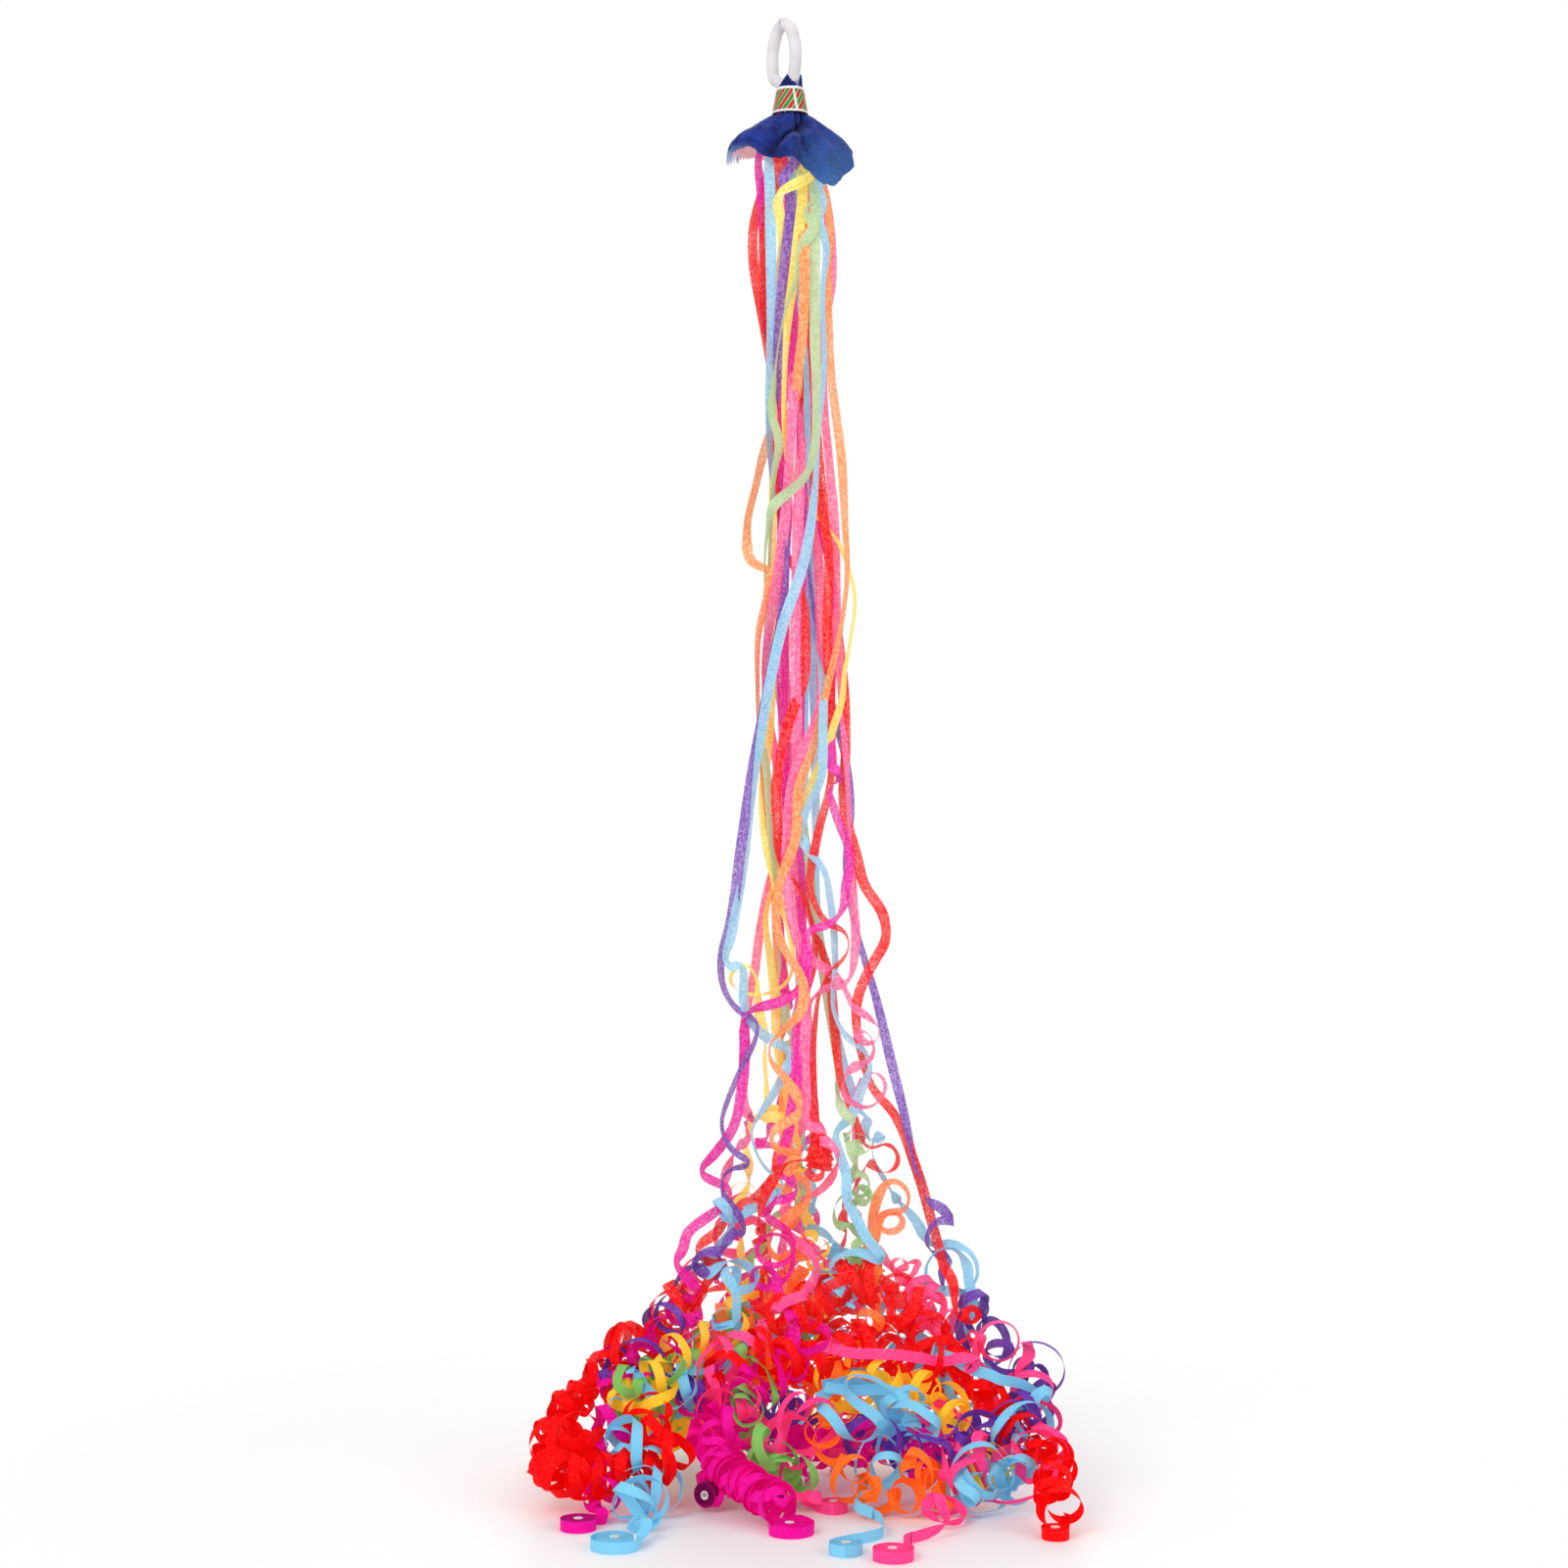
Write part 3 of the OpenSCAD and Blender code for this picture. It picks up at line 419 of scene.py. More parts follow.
# Mess. A curl with a small pitch is a neat stack, and one with a large pitch sprawls, changes its radius
# and tumbles, each over its own number of turns.
LOOSENING = 0.05
NEAT_PITCH = 3.5 * MM
PITCH_RANGE = 6 * MM
PITCH_REACH = 20
LEAST_MESS = 0.12
MESSY_RADIUS = 5 * MM
SPRAWL = 7 * MM
SPRAWL_TURNS = 2.6
RADIUS_CHANGE = 0.35
RADIUS_TURNS = 2.3
TUMBLE_TURNS = 4.2
OUTWARD = 0.5
OPENED = np.array([0.0, -1.0, 0.2])

# Facing. A hanging strip sways about the angle that is given, and a sharp bend turns it the way it bends.
SWAY = 14
SWAY_LENGTH = 0.17
FACE_REACH = 12
BEND_SIZE = 22 * MM
BEND_START = 0.35
BEND_MOST = 0.7

# Far ends. A standing roll points away from the heap's middle, and a few rolls have a loose outer turn.
HEAP_X = 16 * MM
STANDING_SHARE = 1.5
WOUND_TURNS = 2.2
WOUND_POINTS = 100
WOUND_GAP = 0.3 * MM
LOOSE_TURNS = 1.1
LOOSE_TURN = {"blue_1": 5 * MM, "magenta_3": 5 * MM, "pink_2": 2 * MM}

# Settling of the heap
SETTLE_ROUNDS = 40
SETTLE_REACH = 4.5 * MM
OWN_STRETCH = 70
PUSH_SHARE = 0.35
MOVE_SHARE = 1.5
FLOOR_GAP = 3.55 * MM

# Width below the neck, where a strip spreads from its gathered end
NECK_SPREAD = 0.32
SPREAD_START = 6 * MM
SPREAD_RUN = 26 * MM

# Seeds of the strips' wandering
FIRST_SEED = 2.0
SEED_STEP = 1.37


def unit(v):
    return v / np.maximum(np.linalg.norm(v, axis=-1, keepdims=True), 1e-9)


def wander(s, seed, length):
    """A smooth value between about -1 and 1 that changes over that length."""
    k = 2 * math.pi / length
    waves = np.sin(k * s + 1.7 * seed)
    waves = waves + np.sin(0.618 * k * s + 2.9 * seed) + np.sin(1.414 * k * s + 4.3 * seed)
    return waves / 2.2


def eased(start, end, start_way, end_way, f):
    """The place a share f along a smooth bend that leaves one point and comes to another in given ways."""
    return (
        start * (1 + 2 * f) * (1 - f) ** 2
        + end * f * f * (3 - 2 * f)
        + start_way * f * (1 - f) ** 2
        - end_way * f * f * (1 - f)
    )


def smooth_line(rows, at, stations):
    """A smooth curve through rows that stand at those stations, read at the values in at."""
    gap = np.diff(stations)[:, None]
    slope = np.diff(rows, axis=0) / gap
    inner = (slope[:-1] * gap[1:] + slope[1:] * gap[:-1]) / (gap[1:] + gap[:-1])
    tangent = np.vstack([slope[:1], inner, slope[-1:]])
    i = np.clip(np.searchsorted(stations, at, side="right") - 1, 0, len(rows) - 2)
    width = gap[i]
    f = ((at - stations[i]) / width[:, 0])[:, None]
    return eased(rows[i], rows[i + 1], width * tangent[i], width * tangent[i + 1], f)


def carried_sides(tangents):
    """A direction square to each tangent that turns as little as it can along the line."""
    side = np.array([1.0, 0.0, 0.0])
    sides = []
    for tangent in tangents:
        side = side - tangent * np.dot(side, tangent)
        side = side / np.linalg.norm(side)
        sides.append(side)
    return np.array(sides)


def roll_place(name):
    """Middle and radius of a roll, and the direction of its axis."""
    low, high = (np.array(corner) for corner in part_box("roll_" + name))
    middle = (low + high) / 2
    size = high - low
    if size[2] < STANDING_SHARE * PAPER_W:
        return middle, size[0] / 2, np.array([0.0, 0.0, 1.0])
    outward = unit(middle[:2] - np.array([HEAP_X, 0.0]))
    return middle, size[2] / 2, np.array([outward[0], outward[1], 0.0])


def far_end(strip):
    """Middle, radius and axis of the roll or the spent core that a strip ends on."""
    if strip.core is None:
        return roll_place(strip.name)
    x, y, height, angle = strip.core
    middle = np.array([x * MM, y * MM, FLOOR_Z + height * MM])
    if angle is None:
        return middle, CORE_R, np.array([0.0, 0.0, 1.0])
    return middle, CORE_R, np.array([math.cos(math.radians(angle)), math.sin(math.radians(angle)), 0.0])


def wound_end(start, way, strip):
    """Points of a bridge that meets the roll along its side and of the winding, and the bridge's count."""
    middle, radius, axis = far_end(strip)
    wound = np.linspace(0, WOUND_TURNS, WOUND_POINTS)
    loose = LOOSE_TURN.get(strip.name, 0)
    radius = radius + WOUND_GAP + loose * np.clip(LOOSE_TURNS - wound, 0, 1)
    off = start - middle
    off = off - axis * np.dot(off, axis)
    distance = np.linalg.norm(off)
    first = off / distance
    second = np.cross(axis, first)
    angle = strip.hand * (math.acos(min(radius[0] / distance, 1)) + 2 * math.pi * wound)
    ring = middle + np.outer(radius * np.cos(angle), first) + np.outer(radius * np.sin(angle), second)
    gap = np.linalg.norm(ring[0] - start)
    ring_way = unit(ring[1] - ring[0])
    f = np.linspace(0, 1, max(int(gap / STRIP_STEP), 4), endpoint=False)[1:, None]
    bridge = eased(start, ring[0], gap * way, gap * ring_way, f)
    return np.vstack([bridge, ring]), len(bridge)


def heap_row(x, y, height, radius=0, turns=0):
    return x, y, FLOOR_Z / MM + height, CURL_SIZE * radius, CURL_COUNT * turns


def strip_rows(strip):
    """Rows of x, y, z, radius of the curls and turns, from the neck to the far end."""
    angle = math.radians(SHELL_START[strip.shell] + strip.place * 360 / SHELL_COUNT[strip.shell])
    radius = NECK_RADII[strip.shell]
    x = NECK_X / MM + radius * math.cos(angle)
    y = radius * math.sin(angle)
    neck = [(x, y, NECK_Z, 0, 0), (x, y, NECK_Z - NECK_RUN, 0, 0)]
    hang = [(*point, 0, 0) for point in strip.hang]
    heap = [heap_row(*row) for row in strip.heap]
    return np.array(neck + hang + heap), len(neck) + len(hang)


def even_steps(points, *others):
    """The same line at even steps along its length, with other values read at the same places."""
    run = np.concatenate([[0], np.cumsum(np.linalg.norm(np.diff(points, axis=0), axis=1))])
    at = np.linspace(0, run[-1], int(run[-1] / STRIP_STEP) + 1)
    return [
        np.column_stack([np.interp(at, run, column) for column in rows.T]) for rows in (points, *others)
    ]


def gathered_turns(turns, stations, at):
    """Turns made so far. A slow curl makes them in the middle of its run, between straighter ends."""
    total = np.cumsum(turns)
    i = np.clip(np.searchsorted(stations, at, side="right") - 1, 0, len(stations) - 2)
    run = stations[i + 1] - stations[i]
    slow = np.clip(run / np.maximum(turns[i + 1], 1e-6) / SLOW_PITCH - 1, 0, 1)
    f = (at - stations[i]) / run
    ring = f * f * (3 - 2 * f)
    ring = ring * ring * (3 - 2 * ring)
    return total[i] + turns[i + 1] * (f + slow * (ring - f))


def strip_line(strip, seed):
    """Centre line of a strip, its facing in the hang, its tilt in a stack, and its looseness and curl."""
    rows, hang_count = strip_rows(strip)
    rows = rows * np.array([MM, MM, MM, MM, 1])
    runs = np.linalg.norm(np.diff(rows[:, :3], axis=0), axis=1) + LEAST_RUN
    stations = np.concatenate([[0], np.cumsum(runs)])
    counts = np.maximum(np.diff(stations) / ROUTE_STEP, rows[1:, 4] * TURN_POINTS).astype(int) + 3
    pieces = [np.linspace(a, b, n, endpoint=False) for a, b, n in zip(stations[:-1], stations[1:], counts)]
    at = np.concatenate(pieces + [stations[-1:]])
    axis = smooth_line(rows[:, :3], at, stations)
    radius = np.interp(at, stations, rows[:, 3])
    turns = gathered_turns(rows[:, 4], stations, at)
    heap_at = stations[hang_count - 1]
    loose = np.clip((at - heap_at) / LOOSENING, 0, 1)
    pitch = np.gradient(at) / np.maximum(np.gradient(turns), 1e-6)
    pitch = averaged(pitch[:, None], PITCH_REACH)[:, 0]
    mess = np.clip((pitch - NEAT_PITCH) / PITCH_RANGE, LEAST_MESS, 1)
    mess = mess * loose * np.clip(radius / MESSY_RADIUS, 0, 1)
    for k in range(3):
        axis[:, k] += SPRAWL * mess * wander(turns, seed + 5 * k, SPRAWL_TURNS)
    radius = radius * (1 + RADIUS_CHANGE * mess * wander(turns, seed + 3, RADIUS_TURNS))
    tangent = unit(np.gradient(axis, axis=0))
    tumble = np.column_stack([wander(turns, seed + 7 + 2 * k, TUMBLE_TURNS) for k in range(3)])
    outward = unit(axis - np.array([NECK_X, 0, FLOOR_Z]))
    normal = unit(tangent + mess[:, None] * (tumble + OUTWARD * outward + OPENED))
    side = carried_sides(normal)
    across = np.cross(normal, side)
    angle = strip.hand * 2 * math.pi * turns + seed
    radial = np.cos(angle)[:, None] * side + np.sin(angle)[:, None] * across
    points = axis + radius[:, None] * radial
    share = np.clip(at / heap_at, 0, 1) * (len(strip.face) - 1)
    steady = np.interp(share, np.arange(len(strip.face)), strip.face)
    sway = SWAY * wander(at, seed + 11, SWAY_LENGTH)
    turn = np.radians(averaged(steady[:, None], FACE_REACH)[:, 0] + sway)
    flat = np.column_stack([np.sin(turn), -np.cos(turn), np.zeros(len(turn))])
    tilt = math.tan(SHINGLE) * (1 - 0.5 * mess)[:, None] * tangent
    curl = np.clip(radius / CURLED_RADIUS, 0, 1)
    end, bridge_count = wound_end(points[-1], unit(points[-1] - points[-2]), strip)
    fade = np.concatenate([np.linspace(1, 0, bridge_count), np.zeros(len(end) - bridge_count)])
    state = np.vstack([np.column_stack([loose, curl]), np.column_stack([fade, np.ones(len(end))])])
    return even_steps(
        np.vstack([points, end]),
        np.vstack([flat, np.tile(flat[-1], (len(end), 1))]),
        np.vstack([tilt, fade[:, None] * tilt[-1]]),
        state,
    )


def averaged(rows, reach):
    """Each row as the mean of its neighbours on either side."""
    padded = np.pad(rows, ((reach, reach), (0, 0)), mode="edge")
    total = np.cumsum(np.vstack([np.zeros((1, rows.shape[1])), padded]), axis=0)
    return (total[2 * reach + 1:] - total[:-2 * reach - 1]) / (2 * reach + 1)


def close_pairs(points, reach):
    """Pairs of points that lie within reach of one another."""
    cell = np.floor((points - points.min(axis=0)) / reach).astype(np.int64) + 1
    step = np.array([1, 2048, 2048 * 2048])
    key = cell @ step
    order = np.argsort(key, kind="stable")
    ordered = key[order]
    offsets = [
        (i, j, k) for i in (-1, 0, 1) for j in (-1, 0, 1) for k in (0, 1) if k == 1 or (j, i) >= (0, 0)
    ]
    firsts, seconds = [], []
    for offset in offsets:
        wanted = key + np.array(offset) @ step
        low = np.searchsorted(ordered, wanted, side="left")
        count = np.searchsorted(ordered, wanted, side="right") - low
        first = np.repeat(np.arange(len(points)), count)
        start = np.repeat(low - np.concatenate([[0], np.cumsum(count)[:-1]]), count)
        second = order[start + np.arange(len(first))]
        firsts.append(first)
        seconds.append(second)
    first, second = np.concatenate(firsts), np.concatenate(seconds)
    near = np.linalg.norm(points[first] - points[second], axis=1) < reach
    return first[near], second[near]


def settle(lines, rounds, reach):
    """Moves strips that lie in one another apart, a little in each round, and keeps them off the floor."""
    points = np.vstack([line[0] for line in lines])
    loose = np.vstack([line[3][:, :1] for line in lines])
    owner = np.repeat(np.arange(len(lines)), [len(line[0]) for line in lines])
    ends = np.cumsum([len(line[0]) for line in lines])[:-1]
    for _ in range(rounds):
        first, second = close_pairs(points, reach)
        apart = (owner[first] != owner[second]) | (np.abs(first - second) > OWN_STRETCH)
        first, second = first[apart], second[apart]
        gap = points[first] - points[second]
        distance = np.linalg.norm(gap, axis=1, keepdims=True)
        push = PUSH_SHARE * (reach - distance) * gap / np.maximum(distance, 1e-6)
        move = np.zeros_like(points)
        np.add.at(move, first, push)
        np.add.at(move, second, -push)
        move = np.vstack([averaged(part, 3) for part in np.split(move, ends)])
        points = points + MOVE_SHARE * loose * move
        points[:, 2] = np.maximum(points[:, 2], FLOOR_Z + FLOOR_GAP)
    return [averaged(part, 2) for part in np.split(points, ends)]


def faced(points, flat, tilt, curl):
    """Facing of a strip: as given where it hangs, and the way that it bends where it curls."""
    tangent = unit(np.gradient(points, axis=0))
    inward = averaged(np.gradient(tangent, axis=0), 2)
    turned_over = np.where(np.sum(inward[1:] * inward[:-1], axis=1) < 0, -1, 1)
    bend = inward * np.concatenate([[1], np.cumprod(turned_over)])[:, None]
    bend = unit(averaged(bend, 4))
    first = int(np.argmax(curl > 0.5))
    if np.dot(bend[first], flat[first]) < 0:
        bend = -bend
    bent = np.linalg.norm(averaged(np.gradient(tangent, axis=0), 3), axis=1) / STRIP_STEP
    share = np.maximum(curl, np.clip(BEND_SIZE * bent - BEND_START, 0, BEND_MOST))[:, None]
    overlap = np.sign(np.sum(bend * inward, axis=1, keepdims=True)) * tilt
    facing = averaged(share * (bend + overlap) + (1 - share) * flat, 4)
    return unit(facing - tangent * np.sum(facing * tangent, axis=1, keepdims=True))


# Node trees for pieces that follow a path


class Tree:
    """A node tree that is built one node at a time."""

    def __init__(self, name, inputs):
        self.tree = bpy.data.node_groups.new(name, "GeometryNodeTree")
        for title, kind in inputs:
            self.tree.interface.new_socket(title, in_out="INPUT", socket_type=kind)
        self.tree.interface.new_socket("Geometry", in_out="OUTPUT", socket_type="NodeSocketGeometry")
        self.inputs = self.tree.nodes.new("NodeGroupInput").outputs

    def node(self, kind, settings=None, **links):
        node = self.tree.nodes.new(kind)
        for key, value in (settings or {}).items():
            setattr(node, key, value)
        for title, source in links.items():
            socket = node.inputs[title.replace("_", " ")]
            if isinstance(source, bpy.types.NodeSocket):
                self.tree.links.new(source, socket)
            else:
                socket.default_value = source
        return node.outputs[0]

    def attribute(self, name, kind):
        return self.node("GeometryNodeInputNamedAttribute", {"data_type": kind}, Name=name)

    def finish(self, geometry):
        real = self.node("GeometryNodeRealizeInstances", Geometry=geometry)
        painted = self.node("GeometryNodeSetMaterial", Geometry=real, Material=self.inputs["Material"])
        end = self.tree.nodes.new("NodeGroupOutput")
        self.tree.links.new(painted, end.inputs[0])
        return self.tree


def path_tree(name, profile_kind, sizes):
    """Sweeps a profile along the edges of a mesh, facing as its points say."""
    inputs = [("Geometry", "NodeSocketGeometry"), ("Material", "NodeSocketMaterial")]
    inputs += [(title, "NodeSocketFloat") for title in sizes]
    tree = Tree(name, inputs)
    curve = tree.node("GeometryNodeMeshToCurve", Mesh=tree.inputs["Geometry"])
    facing = tree.attribute("facing", "FLOAT_VECTOR")
    turned = tree.node("GeometryNodeSetCurveNormal", {"mode": "FREE"}, Curve=curve, Normal=facing)
    spread = tree.attribute("spread", "FLOAT")
    scaled = tree.node("GeometryNodeSetCurveRadius", Curve=turned, Radius=spread)
    profile = tree.node(profile_kind, None, **{title: tree.inputs[title] for title in sizes})
    swept = tree.node("GeometryNodeCurveToMesh", Curve=scaled, Profile_Curve=profile, Fill_Caps=True)
    return tree.finish(swept)


def apply_tree(name, tree, material, values, mesh=None):
    """Runs a tree on a mesh and keeps the result as a plain mesh object."""
    source = bpy.data.objects.new(name + "_path", mesh or bpy.data.meshes.new(name + "_path"))
    bpy.context.collection.objects.link(source)
    modifier = source.modifiers.new("tree", "NODES")
    modifier.node_group = tree
    for item in tree.interface.items_tree:
        if item.in_out == "INPUT" and item.name in values:
            modifier[item.identifier] = values[item.name]
        elif item.in_out == "INPUT" and item.name == "Material":
            modifier[item.identifier] = material
    graph = bpy.context.evaluated_depsgraph_get()
    made = bpy.data.meshes.new_from_object(source.evaluated_get(graph))
    source.modifiers.remove(modifier)
    bpy.data.objects.remove(source)
    piece = bpy.data.objects.new(name, made)
    bpy.context.collection.objects.link(piece)
    made.shade_smooth()
    made.set_sharp_from_angle(angle=math.radians(50))
    return piece


def hand_over(piece, body, node):
    """Lets a piece ride a body and stand for a solid."""
    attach(piece, body)
    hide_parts(node)


def path_mesh(name, points, facing, spread, breaks=()):
    """A mesh of edges only, with the direction and the scale that the sweep takes at each point."""
    mesh = bpy.data.meshes.new(name)
    edges = [(i, i + 1) for i in range(len(points) - 1) if i + 1 not in breaks]
    mesh.from_pydata(points.tolist(), edges, [])
    mesh.attributes.new("facing", "FLOAT_VECTOR", "POINT").data.foreach_set("vector", facing.ravel())
    mesh.attributes.new("spread", "FLOAT", "POINT").data.foreach_set("value", spread)
    return mesh


# Materials


class Paint:
    """A material that is built one node at a time round one shader."""

    def __init__(self, name, roughness, **constants):
        self.material = bpy.data.materials.new(name)
        self.material.use_nodes = True
        self.nodes = self.material.node_tree.nodes
        self.links = self.material.node_tree.links
        self.shader = self.nodes["Principled BSDF"]
        self.shader.inputs["Roughness"].default_value = roughness
        for title, value in constants.items():
            self.shader.inputs[title.replace("_", " ")].default_value = value

    def node(self, kind, settings=None, output=0, **links):
        node = self.nodes.new(kind)
        for key, value in (settings or {}).items():
            setattr(node, key, value)
        for title, source in links.items():
            connect(self.links, source, node.inputs[title.replace("_", " ")])
        return node.outputs[output]

    def math(self, operation, first, second=0.0):
        node = self.nodes.new("ShaderNodeMath")
        node.operation = operation
        connect(self.links, first, node.inputs[0])
        connect(self.links, second, node.inputs[1])
        return node.outputs[0]

    def mix(self, share, first, second):
        node = self.nodes.new("ShaderNodeMix")
        node.data_type = "RGBA"
        connect(self.links, share, node.inputs[0])
        connect(self.links, first, node.inputs[6])
        connect(self.links, second, node.inputs[7])
        return node.outputs[2]

    def ramp(self, value, low, low_colour, high, high_colour):
        tone = self.node("ShaderNodeValToRGB", Fac=value)
        first, last = tone.node.color_ramp.elements
        first.position = low
        first.color = low_colour
        last.position = high
        last.color = high_colour
        return tone

    def feed(self, title, source):
        self.links.new(source, self.shader.inputs[title])

    def place(self):
        return self.node("ShaderNodeTexCoord", output=3)

    def bump(self, height, strength, distance):
        normal = self.node("ShaderNodeBump", Strength=strength, Distance=distance, Height=height)
        self.feed("Normal", normal)


def connect(links, source, socket):
    """Links a socket, or sets its value."""
    if isinstance(source, bpy.types.NodeSocket):
        links.new(source, socket)
    else:
        socket.default_value = source


def linear(rgb):
    """A screen colour of 0 to 255 as the light that the shader works with."""
    parts = [value / 255 for value in rgb]
    light = [p / 12.92 if p <= 0.04045 else ((p + 0.055) / 1.055) ** 2.4 for p in parts]
    return (*light, 1.0)


# Heights between which a strip comes to be lit from behind, and comes to be sheer
HANG_Z = (-0.86, -0.7)
SHEER_Z = (-0.91, -0.8)


def fibre_group():
    """Cloudy fibres of thin paper. Where it hangs, light comes through it and through its thin spots."""
    group = bpy.data.node_groups.new("paper fibre", "ShaderNodeTree")
    for title, kind in (
        ("Place", "NodeSocketVector"),
        ("Colour", "NodeSocketColor"),
        ("Pale", "NodeSocketColor"),
        ("Hang Pale", "NodeSocketFloat"),
    ):
        group.interface.new_socket(title, in_out="INPUT", socket_type=kind)
    for title, kind in (
        ("Colour", "NodeSocketColor"),
        ("Height", "NodeSocketFloat"),
        ("Cover", "NodeSocketFloat"),
    ):
        group.interface.new_socket(title, in_out="OUTPUT", socket_type=kind)
    nodes, links = group.nodes, group.links
    source = nodes.new("NodeGroupInput").outputs
    end = nodes.new("NodeGroupOutput").inputs

    def grain(scale, detail, low, high):
        node = nodes.new("ShaderNodeTexNoise")
        node.inputs["Scale"].default_value = scale
        node.inputs["Detail"].default_value = detail
        links.new(source["Place"], node.inputs["Vector"])
        return ranged(node.outputs["Fac"], low, high)

    def ranged(value, low, high):
        node = nodes.new("ShaderNodeMapRange")
        node.inputs["From Min"].default_value = low
        node.inputs["From Max"].default_value = high
        links.new(value, node.inputs["Value"])
        return node.outputs["Result"]

    def combine(kind, first, second):
        node = nodes.new("ShaderNodeMath")
        node.operation = kind
        node.use_clamp = True
        connect(links, first, node.inputs[0])
        connect(links, second, node.inputs[1])
        return node.outputs[0]

    patch = grain(38, 2, 0.32, 0.62)
    cloud = grain(520, 3, 0.42, 0.6)
    speck = combine("MULTIPLY", grain(1300, 2, 0.5, 0.64), patch)
    split = nodes.new("ShaderNodeSeparateXYZ")
    links.new(source["Place"], split.inputs[0])
    hang = ranged(split.outputs["Z"], *HANG_Z)
    sheer = ranged(split.outputs["Z"], *SHEER_Z)
    washed = combine("ADD", source["Hang Pale"], combine("MULTIPLY", cloud, 0.5))
    share = combine("ADD", combine("MULTIPLY", hang, washed), combine("MULTIPLY", cloud, 0.05))
    mix = nodes.new("ShaderNodeMix")
    mix.data_type = "RGBA"
    links.new(share, mix.inputs[0])
    links.new(source["Colour"], mix.inputs[6])
    links.new(source["Pale"], mix.inputs[7])
    links.new(mix.outputs[2], end["Colour"])
    links.new(combine("SUBTRACT", cloud, speck), end["Height"])
    thin = combine("MULTIPLY", sheer, combine("ADD", combine("MULTIPLY", speck, 0.6), 0.18))
    links.new(combine("SUBTRACT", 1.0, thin), end["Cover"])
    return group


FIBRE = fibre_group()


def paper(name, colour, pale, hang_pale):
    """Thin dyed tissue paper of the strips with a painted glow, washed out by painted light that comes
    through where it hangs.
    """
    paint = Paint(name, 0.6, Specular_IOR_Level=0.06, Emission_Strength=0.17)
    group = paint.nodes.new("ShaderNodeGroup")
    group.node_tree = FIBRE
    paint.links.new(paint.place(), group.inputs["Place"])
    group.inputs["Colour"].default_value = linear(colour)
    group.inputs["Pale"].default_value = linear(pale)
    group.inputs["Hang Pale"].default_value = hang_pale
    paint.feed("Base Color", group.outputs["Colour"])
    # The emission in the paper's own colour is a painted glow that brightens the strips where they lie in
    # shade
    paint.feed("Emission Color", group.outputs["Colour"])
    paint.feed("Alpha", group.outputs["Cover"])
    paint.bump(group.outputs["Height"], 0.2, 0.1 * MM)
    return paint.material


# Dye, the paler tone of paper with light behind it, and how much of that a hanging strip shows
PAPER_TONES = {
    "red": ((240, 0, 7), (246, 118, 112), 0.06),
    "magenta": ((232, 4, 148), (246, 112, 212), 0.14),
    "pink": ((250, 66, 140), (253, 168, 204), 0.3),
    "blue": ((124, 200, 232), (194, 226, 244), 0.4),
    "orange": ((252, 112, 34), (254, 200, 142), 0.4),
    "yellow": ((252, 202, 48), (255, 246, 146), 0.5),
    "green": ((124, 188, 92), (204, 224, 180), 0.75),
    "purple": ((106, 54, 164), (192, 152, 228), 0.2),
}
PAPERS = {dye: paper("paper_" + dye, *tones) for dye, tones in PAPER_TONES.items()}
# Share of the dye's brightness that a roll keeps under its painted shade, which is deepest on the rolls
# that lie in shade
ROLL_PAINTED_SHADE = {"magenta_1": 0.74, "magenta_2": 0.5, "pink_2": 1.0, "red_1": 1.0}
PLAIN_PAINTED_SHADE = 0.93


def family(name):
    return name.split("_")[0]


def wound_paper(name):
    """Paper wound tightly on a roll, its dye darkened as painted shade."""
    colour, pale, hang_pale = PAPER_TONES[family(name)]
    depth = ROLL_PAINTED_SHADE.get(name, PLAIN_PAINTED_SHADE)
    return paper("wound_" + name, [depth * value for value in colour], pale, hang_pale)


def soft_tube():
    """Milky vinyl of the finger loop."""
    paint = Paint("soft_tube", 0.45, Specular_IOR_Level=0.3, Coat_Weight=0.1, Coat_Roughness=0.35)
    cloud = paint.node("ShaderNodeTexNoise", Vector=paint.place(), Scale=110.0, Detail=3.0)
    tone = paint.ramp(cloud, 0.35, linear((226, 221, 226)), 0.65, linear((240, 236, 239)))
    paint.feed("Base Color", tone)
    paint.bump(cloud, 0.25, 0.4 * MM)
    return paint.material


